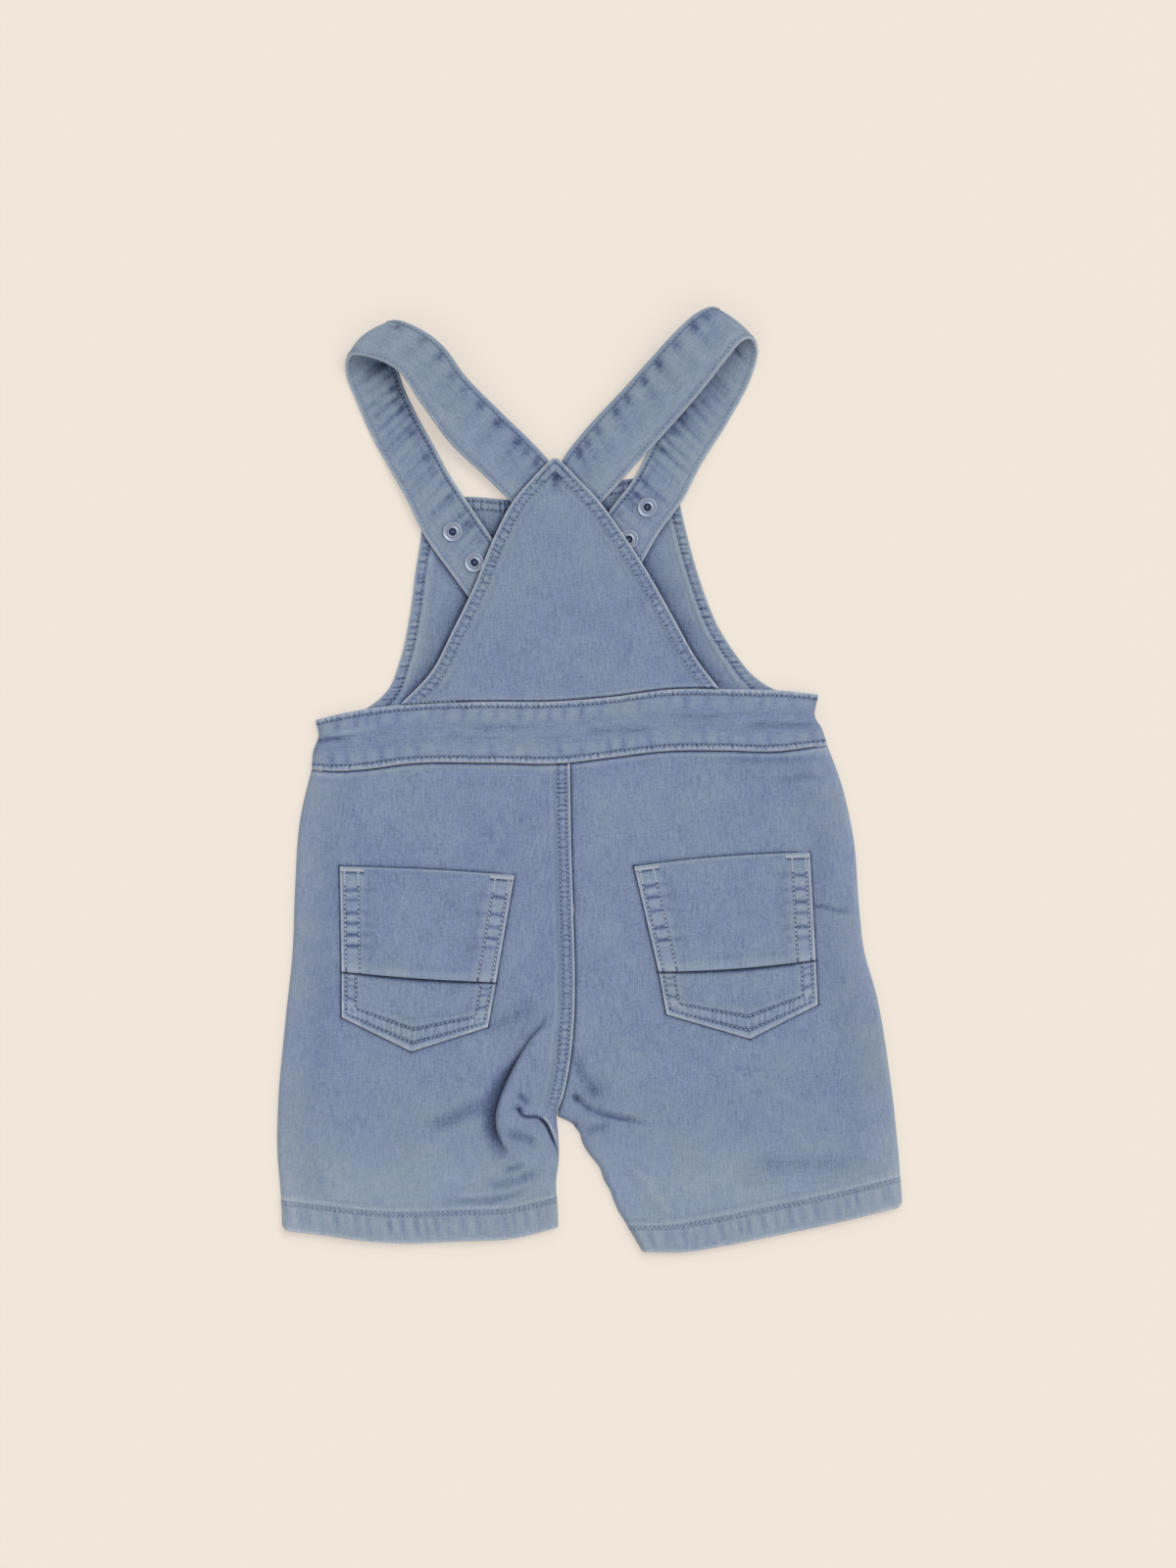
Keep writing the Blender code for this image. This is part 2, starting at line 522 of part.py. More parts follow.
def pocket(side, denim):
    """A patch pocket in two parts. The upper one is turned over the lower at their seam."""
    shape = POCKETS[side]
    corners = {key: np.array(value, float) for key, value in shape._asdict().items() if key != "bow"}

    def line(a, b, bow=0.0):
        t = np.linspace(0, 1, 40)[:, None]
        return corners[a] + t * (corners[b] - corners[a]) + np.array([0, bow]) * 4 * t * (1 - t)

    seam = line("seam_left", "seam_right", -shape.bow)
    tall = length(line("top_left", "seam_left"))
    share = spread([0, 1 - (POCKET_SEAM + STEP) / tall, 1 - POCKET_SEAM / tall, 1], [5, 1, 1])
    grid, _, _ = patch(line("top_left", "seam_left"), line("top_right", "seam_right"),
                       line("top_left", "top_right", shape.bow), seam, share, share, [0], [0], 9)
    upper_extra = np.zeros(grid.shape[:2])
    upper_extra[-2:] = HEM_EXTRA
    point = np.concatenate([line("low_left", "point"), line("point", "low_right")[1:]])
    drop = np.array([0, -GAP])
    low_grid, _, _ = patch(line("seam_left", "low_left") + drop, line("seam_right", "low_right") + drop,
                           seam + drop, point + drop, spread([0, 1], [4]), spread([0, 1], [4]), [0], [0], 9)
    for name, plan, extra in (("upper", grid, upper_extra), ("lower", low_grid, 0.0)):
        under = leg_face(plan[..., 0], plan[..., 1]) + GAP
        flat = np.full(plan.shape[:2], pi / 2)
        solid(f"pocket_{side}_{name}", *wall(plan, under + WALL, WALL, extra, flat, flat), denim)


def upward(surface):
    """Unit normals of a strap's middle. They point up where it starts, which is into the loop at its fold."""
    normal = np.cross(np.gradient(surface, axis=0), np.gradient(surface, axis=1))
    normal /= np.linalg.norm(normal, axis=-1)[..., None]
    return normal if normal[0, 0, 2] > 0 else -normal


def strap_surface(side, rows, columns):
    """Middle of a strap and its normals: ruled between two smooth edges that run through the sections.

    Where it stands upright, at the shoulder fold, the middle of each rule is bowed outwards.
    """
    edges = smooth(np.array(STRAPS[side], float), rows)
    start = edges[:, [0, 1, 4]]
    end = edges[:, [2, 3, 4]]
    across = np.linspace(0, 1, columns)[None, :, None]
    middle = start[:, None] * (1 - across) + end[:, None] * across
    normal = upward(middle)
    upright = 1 - normal[..., 2:] ** 2
    middle = middle - FOLD_BOW[side] * 4 * across * (1 - across) * upright * normal
    return middle, upward(middle)


def strap(side, denim):
    """A strap: one wall along its sections, from its free end over the shoulder fold to the back bib."""
    middle, normal = strap_surface(side, STRAP_ROWS, STRAP_COLUMNS)
    half = 0.5 * STRAP_WALL * normal
    up, down = (middle + half)[::-1], (middle - half)[::-1]
    if side == "right":
        up, down = up[:, ::-1], down[:, ::-1]
    return solid(f"strap_{side}", up, down, denim)


def on_strap(side, place):
    """The point of a strap's front run that lies nearest to (x, y), and the strap's normal there."""
    surface, normal = strap_surface(side, 600, 61)
    front = int(FRONT_RUN * len(surface))
    away = np.linalg.norm(surface[:front, :, :2] - place, axis=-1)
    nearest = np.unravel_index(away.argmin(), away.shape)
    return surface[nearest], normal[nearest]


def snap_ring(side, number, metal):
    """One press-stud ring on a strap. Returns the cutter that bores the strap under it."""
    centre, axis = on_strap(side, RING_PLACES[side][number - 1])
    seat = centre + (0.5 * STRAP_WALL + GAP) * axis
    turned(f"snap_ring_{side}_{number}", RING_PROFILE, seat, axis, metal)
    width = RING_HOLE + 0.5 * GAP
    bore = [(0, -BORE_REACH), (width, -BORE_REACH), (width, BORE_REACH), (0, BORE_REACH)]
    return turned(f"bore_{side}_{number}", bore, centre, axis, None)


def snap_stud(side, metal):
    """The stud in the front bib that holds a strap's first ring. Returns the cutter of its seat."""
    (x, y, z), _ = on_strap(side, RING_PLACES[side][0])
    top = z + 0.5 * STRAP_WALL + GAP + 0.5 * RING_HEIGHT
    place, upright = np.array([x, y, 0.0]), np.array([0.0, 0.0, 1.0])
    cap = [(0, 0), (STUD_RADIUS, 0), (STUD_RADIUS, STUD_CAP - STUD_EDGE), (STUD_RADIUS - STUD_EDGE, STUD_CAP)]
    post = [(STUD_POST, STUD_CAP), (STUD_POST, top - POST_EDGE), (STUD_POST - POST_EDGE, top), (0, top)]
    turned(f"snap_stud_{side}", cap + post, place, upright, metal)
    seat = [(0, -BORE_REACH), (STUD_RADIUS + GAP, -BORE_REACH), (STUD_RADIUS + GAP, STUD_CAP + GAP),
            (STUD_POST + GAP, STUD_CAP + GAP), (STUD_POST + GAP, BORE_REACH), (0, BORE_REACH)]
    return turned(f"stud_bore_{side}", seat, place, upright, None)


def build():
    for old in list(bpy.data.objects):
        bpy.data.objects.remove(old)
    front = material("denim_inside", DENIM_FRONT, 0.9, 0.0)
    back = material("denim", DENIM_BACK, 0.88, 0.0)
    metal = material("snap_metal", METAL, 0.35, 1.0)
    bored(front_bib(front), [snap_stud(side, metal) for side in LEGS])
    for side in LEGS:
        bored(strap(side, back), [snap_ring(side, number, metal) for number in (1, 2)])
        front_leg(side, front)
        back_leg(side, back)
        pocket(side, back)
    back_waistband(back)
    back_bib(back)


build()
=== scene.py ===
# %% [markdown]
# # A toddler's denim short overalls, laid flat with the back up
#
# The real thing is washed denim, cut into panels, hemmed, sewn together and laid face down on a pale table.
# The imported frame holds every panel as a plain rigid wall. This script dresses that frame: each panel becomes
# a fine thin shell with rounded folded edges, raised hems, stitch grooves, puckers and creases. Threads and
# press studs are added as real geometry, and the denim's weave, wash and worn places come from shader nodes,
# and so does the shade that is painted beside upper layers, under folds and in pits.

# %% The frame
from collections import namedtuple
from copy import copy
from math import pi, radians

import bpy
import numpy as np
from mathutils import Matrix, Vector


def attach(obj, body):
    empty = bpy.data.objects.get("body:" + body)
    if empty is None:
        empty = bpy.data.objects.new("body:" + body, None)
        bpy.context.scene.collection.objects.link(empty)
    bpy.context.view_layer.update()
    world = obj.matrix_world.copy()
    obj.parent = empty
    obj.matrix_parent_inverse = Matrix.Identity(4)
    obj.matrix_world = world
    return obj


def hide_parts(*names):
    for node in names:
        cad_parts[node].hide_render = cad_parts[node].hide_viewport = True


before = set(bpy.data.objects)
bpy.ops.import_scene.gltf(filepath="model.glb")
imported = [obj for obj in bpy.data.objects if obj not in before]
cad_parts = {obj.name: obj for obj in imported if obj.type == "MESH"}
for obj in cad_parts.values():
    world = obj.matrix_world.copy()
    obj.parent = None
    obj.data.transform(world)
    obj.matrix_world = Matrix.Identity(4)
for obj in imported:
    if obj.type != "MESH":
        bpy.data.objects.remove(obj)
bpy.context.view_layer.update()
MM = 0.001

# %% [markdown]
# ## The cut of the garment
#
# A pattern maker draws each panel as a few curves. The same curves hold here, in millimetres, with +Y towards
# the shoulders and +X to the right as the back is looked at. They repeat the frame's own outlines, so that
# each shell lies exactly on the solid that it stands for. Heights are above the table.

# %% Layers and hems
GAP = 0.3                # between pieces that are sewn or lie together
WALL = 1.2               # one layer of denim with its lie
BAND_WALL = 2.0          # waistband
STRAP_WALL = 1.8
HEM_RISE = 0.8           # what a turned hem or a lapped seam adds
FRONT_RISE = 0.6         # the same on a front panel, pressed flat
HEM_HEIGHT = 15.6        # turned-up leg hem
HEM_ROWS = (13.2, 15.0)  # its two stitch rows, from the hem's edge
BIB_BAND = 6.9           # hem round a bib, with stitch rows in it
BIB_ROWS = (2.4, 6.0)
LAP = 7.9                # lapped seat seam, with its rows
LAP_ROWS = (2.2, 6.2)
LEG_FACE = 4.1           # heights of the outer faces
BAND_FACE = 4.9
BIB_FACE_LOW = 4.9
BIB_FACE_HIGH = 6.3
ROLL = 3.5               # rounded side edge
FRONT_INSET = 2.6
NOTCH = 3.4
CROTCH_STEP = 3.9
BAND_BLEND = 12

# %% Outlines
BAND_TOP = [(-140, 29.8), (-128.5, 32.8), (-108.5, 36.3), (-86, 38.3), (-51, 39.3), (-21, 39.3), (9, 41.5),
            (44, 45.7), (74, 45.5), (99, 44.8), (116.5, 42.8)]
BAND_LOW = [(-142, 4.8), (-131, 3.8), (-113.5, 4.8), (-93.5, 7.5), (-51, 8), (-13.5, 7.8), (9, 10.5),
            (39, 14), (69, 14.3), (94, 13.8), (121, 17.2)]
BAND_LEFT_END = [(-140, 29.8), (-138.5, 21.5), (-141, 14.5), (-142, 4.8)]
BAND_RIGHT_END = [(116.5, 42.8), (115.2, 30.5), (117.8, 26.5), (121, 17.2)]
LEFT_SIDE = [(-142, 4.8), (-147.5, -18.8), (-150.5, -57.8), (-151.5, -85.3), (-155.5, -125.3),
             (-159, -165.3), (-159.5, -187.8), (-157.5, -215.3), (-157, -230.2)]
RIGHT_SIDE = [(121, 17.2), (127.5, -0.3), (134, -27.8), (137.5, -67.8), (139.5, -85.8), (146.5, -111.8),
              (152.5, -147.8), (157.5, -192.8), (159.5, -218.2)]
LEFT_HEM = [(-157, -230.2), (-136, -232.8), (-116, -235.5), (-96, -236.8), (-66, -235.8), (-38.5, -234.3),
            (-16, -228.7)]
RIGHT_HEM = [(26.5, -241.2), (49, -241.2), (69, -238), (99, -232), (124, -226.8), (159.5, -218.2)]
SEAT = [(-10, 7.8), (-9.5, -27.8), (-8.2, -72.8), (-7.5, -102.8), (-8.2, -127.8), (-11, -150.3),
        (-14.5, -165.3), (-17, -172)]
LEFT_INSEAM = [(-17, -172), (-16, -182.8), (-15.7, -192.8), (-17.2, -207.8), (-16.5, -217), (-16, -228.7)]
RIGHT_INSEAM = [(-17, -172), (-7, -177.8), (-3.5, -186.8), (5, -199.8), (11, -213.3), (19, -228.3),
                (26.5, -241.2)]
FRONT_CENTRE = [(-6, 34), (-8, -60), (-17, -169)]
FRONT_WAIST = [(-140, 28.8), (116, 40.2)]
BIB_LEFT = [(-19.5, 163), (-28.5, 153.8), (-39.5, 140.8), (-48, 124.8), (-59.5, 96.8), (-69.5, 76.3),
            (-81, 54.3), (-97, 37.3)]
BIB_RIGHT = [(-16, 163), (-8.5, 155.3), (5.5, 140.3), (16, 125.8), (29.5, 104.8), (42, 82.8), (55, 59.8),
             (65.5, 46.2)]
FRONT_BIB_TOP = [(-86, 142.7), (-61, 143.7), (-41, 142.3), (19, 152.7), (44, 154.7)]
FRONT_BIB_LEFT = [(-86, 142.7), (-86, 125.8), (-89, 104.8), (-92, 82.3), (-97, 59.8), (-103, 45.3),
                  (-111, 37.8), (-124, 31.2)]
FRONT_BIB_RIGHT = [(44, 154.7), (46, 139.8), (50, 122.3), (57, 98.3), (65.5, 77.3), (74, 63.8), (83, 52.8),
                   (92.5, 46.3), (104, 42.6)]
Leg = namedtuple("Leg", "inwards side band_end inseam hem")
LEGS = {
    "left": Leg(1, LEFT_SIDE, BAND_LEFT_END, LEFT_INSEAM, LEFT_HEM),
    "right": Leg(-1, RIGHT_SIDE, BAND_RIGHT_END, RIGHT_INSEAM, RIGHT_HEM),
}
Pocket = namedtuple("Pocket", "top_left top_right seam_right seam_left low_right point low_left bow")
POCKETS = {
    "left": Pocket((-127.5, -44.8), (-38.5, -49.3), (-48, -103.8), (-126.5, -98.3),
                   (-52, -126.3), (-91, -138.8), (-126.5, -121.3), 0.8),
    "right": Pocket((22.5, -44.8), (112, -37.8), (115, -92.3), (35, -98.3),
                    (116, -114.8), (81.5, -132.3), (39, -119.8), 1.5),
}

# %% [markdown]
# ## Curves
#
# A curve through a few chosen places is easier to change than a dense list of points. Hermite spans pass
# through every place, and a walk at even steps of length lets two edges of a panel share one set of rows.

# %% Curve helpers
def ease(t):
    """0 below 0, 1 above 1, and a smooth S between them: 3t^2 - 2t^3."""
    t = np.clip(t, 0.0, 1.0)
    return t * t * (3 - 2 * t)


def smooth(knots, count=160):
    """A curve through the knots: cubic Hermite spans on chord length, read at even steps of it."""
    knots = np.asarray(knots, float)
    chord = np.concatenate([[0.0], np.cumsum(np.linalg.norm(np.diff(knots, axis=0), axis=1))])
    slope = np.gradient(knots, chord, axis=0, edge_order=1)
    where = np.linspace(0.0, chord[-1], count)
    span = np.clip(np.searchsorted(chord, where, side="right") - 1, 0, len(knots) - 2)
    width = (chord[span + 1] - chord[span])[:, None]
    t = (where[:, None] - chord[span][:, None]) / width
    return ((2 * t**3 - 3 * t**2 + 1) * knots[span] + (t**3 - 2 * t**2 + t) * width * slope[span]
            + (3 * t**2 - 2 * t**3) * knots[span + 1] + (t**3 - t**2) * width * slope[span + 1])


def length(curve):
    """The distances between neighbouring points, added up."""
    return np.linalg.norm(np.diff(curve, axis=0), axis=1).sum()


def at(curve, share):
    """Points of a curve at shares of its length, from 0 to 1."""
    run = np.concatenate([[0.0], np.cumsum(np.linalg.norm(np.diff(curve, axis=0), axis=1))])
    run /= run[-1]
    return np.stack([np.interp(share, run, curve[:, k]) for k in range(curve.shape[1])], axis=-1)


def joined(*curves):
    """Curves laid end to end, and read again at even steps of their whole length."""
    return at(np.concatenate(curves), np.linspace(0, 1, 500))


def between(curve, start, end):
    """A curve moved so that it runs from start to end, with what its own ends are off faded along it."""
    t = np.linspace(0, 1, len(curve))[:, None]
    return curve + (1 - t) * (start - curve[0]) + t * (end - curve[-1])


def moved_in(curve, distance):
    """A plane curve moved to its left by a distance, square to its own run."""
    run = np.gradient(curve, axis=0)
    run /= np.linalg.norm(run, axis=1)[:, None]
    return curve + distance * np.stack([-run[:, 1], run[:, 0]], axis=1)


def stretch(curve, x_from, x_to, lowered=0.0):
    """What a crosswise curve has between two places in x, moved down by a distance."""
    x = np.linspace(x_from, x_to, 90)
    return np.stack([x, np.interp(x, curve[:, 0], curve[:, 1]) - lowered], axis=1)


def hung(curve, seam):
    """What a downward curve has below a seam, with its first point on the seam."""
    below = curve[curve[:, 1] < np.interp(curve[:, 0], seam[:, 0], seam[:, 1])]
    start = (below[0, 0], np.interp(below[0, 0], seam[:, 0], seam[:, 1]))
    return np.concatenate([[start], below[1:]])


def beside(path, x, y):
    """How far points lie from a path, and where along it.

    Each point is dropped square onto every short run of the path, and the nearest foot counts. The distance
    is above 0 on the left of someone who walks along the path. The share is 0 at its start and 1 at its end,
    and the heading is the run's own direction.
    """
    run = np.diff(path, axis=0)
    size = np.linalg.norm(run, axis=1)
    heading = run / size[:, None]
    start = np.concatenate([[0.0], np.cumsum(size)])
    away_x = x.ravel()[:, None] - path[None, :-1, 0]
    away_y = y.ravel()[:, None] - path[None, :-1, 1]
    foot = np.clip(away_x * heading[:, 0] + away_y * heading[:, 1], 0, size)
    off_x, off_y = away_x - foot * heading[:, 0], away_y - foot * heading[:, 1]
    gap = np.hypot(off_x, off_y)
    best = gap.argmin(axis=1)
    rows = np.arange(len(best))
    on_left = heading[best, 0] * off_y[rows, best] - heading[best, 1] * off_x[rows, best] >= 0
    signed = np.where(on_left, 1, -1) * gap[rows, best]
    share = (start[best] + foot[rows, best]) / start[-1]
    return signed.reshape(x.shape), share.reshape(x.shape), heading[best].reshape(*x.shape, 2)


print(f"seat seam: {length(smooth(SEAT)):.1f} mm long")

# %% [markdown]
# ## A thin closed shell
#
# Cloth has two faces and a rounded folded edge. Solidify could thicken a single sheet, but the edge would be
# square and both faces equally dense. Here both faces are grids: the outer one is fine, because it carries
# the relief, and the inner one keeps every second row and column. A ring of five-sided faces joins them. Each
# point carries one vector named cloth: its place across and along the weave, and how worn it is together
# with the shade painted on it.

# %% The shell
LESS_WORN = 0.15         # an inner face that isn't seen keeps more dye


def shell(name, outer, inner, cloth, material, slot, under=None):
    """A closed mesh between an outer and an inner grid of the same odd size, in millimetres.

    under is how worn the inner face is, with its painted shade, where that face is one to be seen.
    """
    rows, columns = outer.shape[:2]
    inner, inner_cloth = inner[::2, ::2], cloth[::2, ::2] - (0, 0, LESS_WORN)
    if under is not None:
        inner_cloth[..., 2] = under[::2, ::2]
    fine = np.arange(rows * columns).reshape(rows, columns)
    coarse = rows * columns + np.arange(inner.shape[0] * inner.shape[1]).reshape(inner.shape[:2])

    def squares(index):
        """A face for each cell of a grid: a point, the ones below and beside it, and the one across."""
        corners = index[:-1, :-1], index[1:, :-1], index[1:, 1:], index[:-1, 1:]
        return np.stack(corners, axis=-1).reshape(-1, 4)

    def ring(index):
        """The grid's outer points in turn: down the left, along the foot, up the right and back."""
        return np.concatenate([index[:-1, 0], index[-1, :-1], index[:0:-1, -1], index[0, :0:-1]])

    over, under = ring(fine), ring(coarse)
    edge = np.stack([over[::2], under, np.roll(under, -1), np.roll(over[::2], -1), over[1::2]], axis=1)
    faces = squares(fine).tolist() + squares(coarse)[:, ::-1].tolist() + edge.tolist()
    points = np.concatenate([outer.reshape(-1, 3), inner.reshape(-1, 3)]) * MM
    vectors = np.concatenate([cloth.reshape(-1, 3), inner_cloth.reshape(-1, 3)])
    piece = mesh_piece(name, points, faces, vectors * (MM, MM, 1), material)
    print(f"{name}: {rows} x {columns} points")
    return piece


def mesh_piece(name, points, faces, cloth, material):
    """A finished object at the origin, in metres, that rides on the garment's one body."""
    mesh = bpy.data.meshes.new(name)
    mesh.from_pydata(np.asarray(points).tolist(), [], faces)
    layer = mesh.attributes.new("cloth", "FLOAT_VECTOR", "POINT")
    layer.data.foreach_set("vector", np.asarray(cloth, np.float32).ravel())
    mesh.materials.append(material)
    mesh.shade_smooth()
    piece = bpy.data.objects.new(name, mesh)
    bpy.context.scene.collection.objects.link(piece)
    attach(piece, "root")
    return piece


# %% [markdown]
# ## A panel
#
# A panel lies between four edge curves. Rows run from its left edge to its right one, and the bows of its top
# and lower edges fade into the middle (a Coons patch). Rows and columns close to an edge keep a true distance
# from it, so a stitch row or a hem is simply one line of the grid. Relief is added as plain sums on the grid,
# and each sum may also change how worn the cloth is: rubbed ridges turn pale, and stitch troughs keep their
# dye. Shade beside upper layers, under folds and in pits is painted dark as well.

# %% Steps from an edge
RIM = 0.42               # share of the wall that an edge is rounded by
LOWEST = 0.02            # an outer face or a thread stays this far above the table


def steps(*marks, pitch=1.0, reach=None):
    """Distances from an edge: a rounded rim, even steps, and closer ones beside each stitch row."""
    rim = [0, 0.05, 0.18, 0.42, 0.8]
    close = [mark + k for mark in marks for k in (-0.9, -0.45, 0, 0.45, 0.9)]
    reach = reach or (max(marks) + 2.5 if marks else 2.0)
    even = [s for s in np.arange(1.3, reach, 0.6 * pitch) if all(abs(s - c) > 0.25 for c in close)]
    return np.array(sorted(rim + close + even))


def rolled():
    """Distances at which a rounded side edge has even turns of its quarter circle."""
    return ROLL * (1 - np.cos(np.linspace(0, pi / 2, 11)))


def crosswise(first, last, span, count):
    """Positions across each span: the first steps, even ones, then the last steps counted from its end."""
    span = np.asarray(span, float)[..., None]
    inner = np.linspace(0, 1, count + 2)[1:-1]
    start, end = first[..., -1:], span - last[..., -1:]
    runs = first + 0 * span, start + (end - start) * inner, (span - last)[..., ::-1]
    return np.concatenate(runs, axis=-1)


def unit(vectors):
    """Vectors divided by their own length."""
    return vectors / np.maximum(np.linalg.norm(vectors, axis=-1, keepdims=True), 1e-12)


# %% The panel
GROOVE_DEPTH = 0.25      # how far a row's thread pulls the cloth down
GROOVE_DYE = 1.3         # how much darker the trough stays


class Panel:
    """A cloth panel on a grid: plan x and y, distances from its edges, height z, and how worn it is with its
    painted shade.
    """

    def __init__(self, left, right, top, low, left_steps, right_steps, top_steps, low_steps, pitch=1.1):
        """At shares u across and v down, a point is (1 - u) left(v) + u right(v), and (1 - v) of the bow of
        the top and v of the bow of the lower edge are added. Points are about a pitch apart, and closer at
        the edges.
        """
        spans = length(left), length(right)
        self.steps = {"left": left_steps, "right": right_steps, "top": top_steps, "low": low_steps}

        def count(span, first, last):
            inner = max(1, round((span - first[-1] - last[-1]) / pitch))
            return inner + (len(first) + len(last) + inner + 1) % 2

        rows = count(max(spans), top_steps, low_steps)
        shares = [crosswise(top_steps, low_steps, span, rows) / span for span in spans]
        ends = [at(edge, share) for edge, share in zip((left, right), shares)]
        width = np.linalg.norm(ends[1] - ends[0], axis=1)
        across = unit(ends[1] - ends[0])
        near, slant = [], []
        for edge, marks in zip(ends, (left_steps, right_steps)):
            run = unit(np.gradient(edge, axis=0))
            slant.append(np.abs(across[:, 0] * run[:, 1] - across[:, 1] * run[:, 0])[:, None])
            distance = marks / slant[-1]
            near.append(distance * np.minimum(1, 0.42 * width / distance[:, -1])[:, None])
        u = crosswise(near[0], near[1], width, count(width.max(), left_steps, right_steps)) / width[:, None]
        v = 0.5 * (shares[0] + shares[1])[:, None]
        plan = (1 - u)[..., None] * ends[0][:, None] + u[..., None] * ends[1][:, None]
        for edge, fade in ((top, 1 - v), (low, v)):
            bow = at(edge, u) - ((1 - u)[..., None] * edge[0] + u[..., None] * edge[-1])
            plan = plan + fade[..., None] * bow
        self.plan, self.across = plan, across[:, None]
        self.x, self.y = plan[..., 0], plan[..., 1]
        self.left, self.right = u * width[:, None] * slant[0], (1 - u) * width[:, None] * slant[1]
        down = [(share * span)[:, None] for share, span in zip(shares, spans)]
        self.top = (1 - u) * down[0] + u * down[1]
        self.low = (1 - u) * (spans[0] - down[0]) + u * (spans[1] - down[1])
        self.z = np.zeros(u.shape)
        self.wear = np.zeros(u.shape)
        self.shift = np.zeros(plan.shape)

    def band(self, distance, width, rise, run=0.9, worn=0.15, line=0.2):
        """A second layer beside an edge: its full rise within the width, then a rounded step down."""
        inside = ease((width + run - distance) / run)
        self.z += rise * inside
        self.wear += worn * inside + line * np.exp(-((distance - width - 1.2) / 1.2) ** 2)

    def groove(self, distance, *rows, amount=1.0, width=0.5, dye=GROOVE_DYE):
        """The trough that a stitch row pulls, where the dye stays: a bell curve across each row."""
        for row in rows:
            dip = amount * np.exp(-((distance - row) / width) ** 2)
            self.z -= GROOVE_DEPTH * dip
            self.wear -= dye * dip

    def rubbed(self, distance, size=1.0, width=0.9):
        """A folded edge, worn pale by rubbing: the wear falls off within a millimetre."""
        self.wear += size * np.exp(-(distance / width) ** 2)

    def pucker(self, along, places, depth, across, width=0.9, dye=1.5):
        """Troughs across a seam, each with a pale swell on both sides: a bell less a wider, lower bell."""
        off = (along[..., None] - places[:, 0]) / width
        wave = (places[:, 1] * (np.exp(-off**2) - 0.35 * np.exp(-(off / 2.2) ** 2))).sum(axis=-1) * across
        self.z -= depth * wave
        self.wear -= dye * wave

    def painted_shade_beside(self, *paths, amount=1.1, width=0.8):
        """Painted shade on cloth beside the edge of another layer: a bell curve of darkening across each path.
        """
        for path in paths:
            self.wear -= amount * np.exp(-(beside(path[::4], self.x, self.y)[0] / width) ** 2)

    def blot(self, spots):
        """Small pits: each has a place, a radius, a depth and how dark the shade painted in it is."""
        for x, y, radius, depth, dark in spots:
            pit = np.exp(-(np.hypot(self.x - x, self.y - y) / radius) ** 2)
            self.z -= depth * pit
            self.wear -= dark * pit

    def round_corner(self, side, radius):
        """Rounds a lower corner: (u, v) from the arc's centre goes to (u, v) max(u, v) / |(u, v)|."""
        u = np.clip(radius - getattr(self, side), 0, radius)
        v = np.clip(radius - self.low, 0, radius)
        kept = np.maximum(u, v) / np.maximum(np.hypot(u, v), 1e-9)
        drawn = (1 - kept) * (v > 0) * (u > 0)
        self.shift += drawn[..., None] * np.dstack([u if side == "left" else -u, v])

    def make_faces(self, wall, rolls=(), rims=("left", "right", "top", "low"), lying=None):
        """Outer and inner points. A rolled edge turns down to the table, and the others are rounded over.

        On a rolled edge at angle a, the outer face is at sin(a) of its height, and the inner one lies one
        wall inside it along the same angle. A rounded edge drops by r - sqrt(r^2 - (r - d)^2) at distance d.
        lying is the inner face's own height, for a panel that lies on the table.
        """
        up, shift = np.ones(self.z.shape), np.zeros(self.z.shape)
        for side, sign in (("left", 1), ("right", -1)):
            if side in rolls:
                turn = np.arccos(1 - np.clip(getattr(self, side) / ROLL, 0, 1))
                turn = pi / 2 + (turn - pi / 2) * rolls[side]
                up = up * np.sin(turn)
                shift = shift + sign * wall * np.cos(turn)
        radius, drop = RIM * wall, np.zeros(self.z.shape)
        for side in rims:
            inside = np.clip(radius - getattr(self, side), 0, radius)
            drop = np.maximum(drop, radius - np.sqrt(radius**2 - inside**2))
        plan = self.plan + self.shift
        self.outer = np.dstack([plan, np.maximum(self.z * up - drop, LOWEST)])
        self.normal = normals(self.outer)
        height = (self.z - wall) * up if lying is None else lying
        self.inner = np.dstack([plan + shift[..., None] * self.across, np.maximum(height + drop, 0)])

    def seam(self, side, distance):
        """The line of the grid at a distance from one edge: its places and the cloth's normals there."""
        k = int(np.abs(self.steps[side] - distance).argmin())
        pick = {"left": np.s_[:, k], "right": np.s_[:, -1 - k], "top": np.s_[k], "low": np.s_[-1 - k]}[side]
        return self.outer[pick], self.normal[pick]

    def cloth(self, degrees):
        """Across and along the weave, which the cut turns by an angle, and the wear."""
        turn = radians(degrees)
        across = self.x * np.cos(turn) + self.y * np.sin(turn)
        along = self.y * np.cos(turn) - self.x * np.sin(turn)
        # Across and along the weave, which the cut turns by an angle, and how worn it is with its painted
        # shade.
        return np.dstack([across, along, self.wear])


def normals(surface):
    """Unit normals of a grid whose rows run down and whose columns run to the right."""
    return unit(np.cross(np.gradient(surface, axis=0), np.gradient(surface, axis=1)))


def uneven(start, stop, pitch, seed):
    """Places along a seam with an uneven pitch, and a strength for each."""
    rng = np.random.default_rng(seed)
    places = start + np.cumsum(pitch * rng.uniform(0.55, 1.45, int((stop - start) / pitch)))
    return np.stack([places, rng.uniform(0.25, 1.0, len(places))], axis=1)


def within(distance, start, stop, soft=1.2):
    """1 between two distances from an edge, and a soft fall to 0 outside them."""
    return ease((distance - start) / soft + 0.5) * ease((stop - distance) / soft + 0.5)
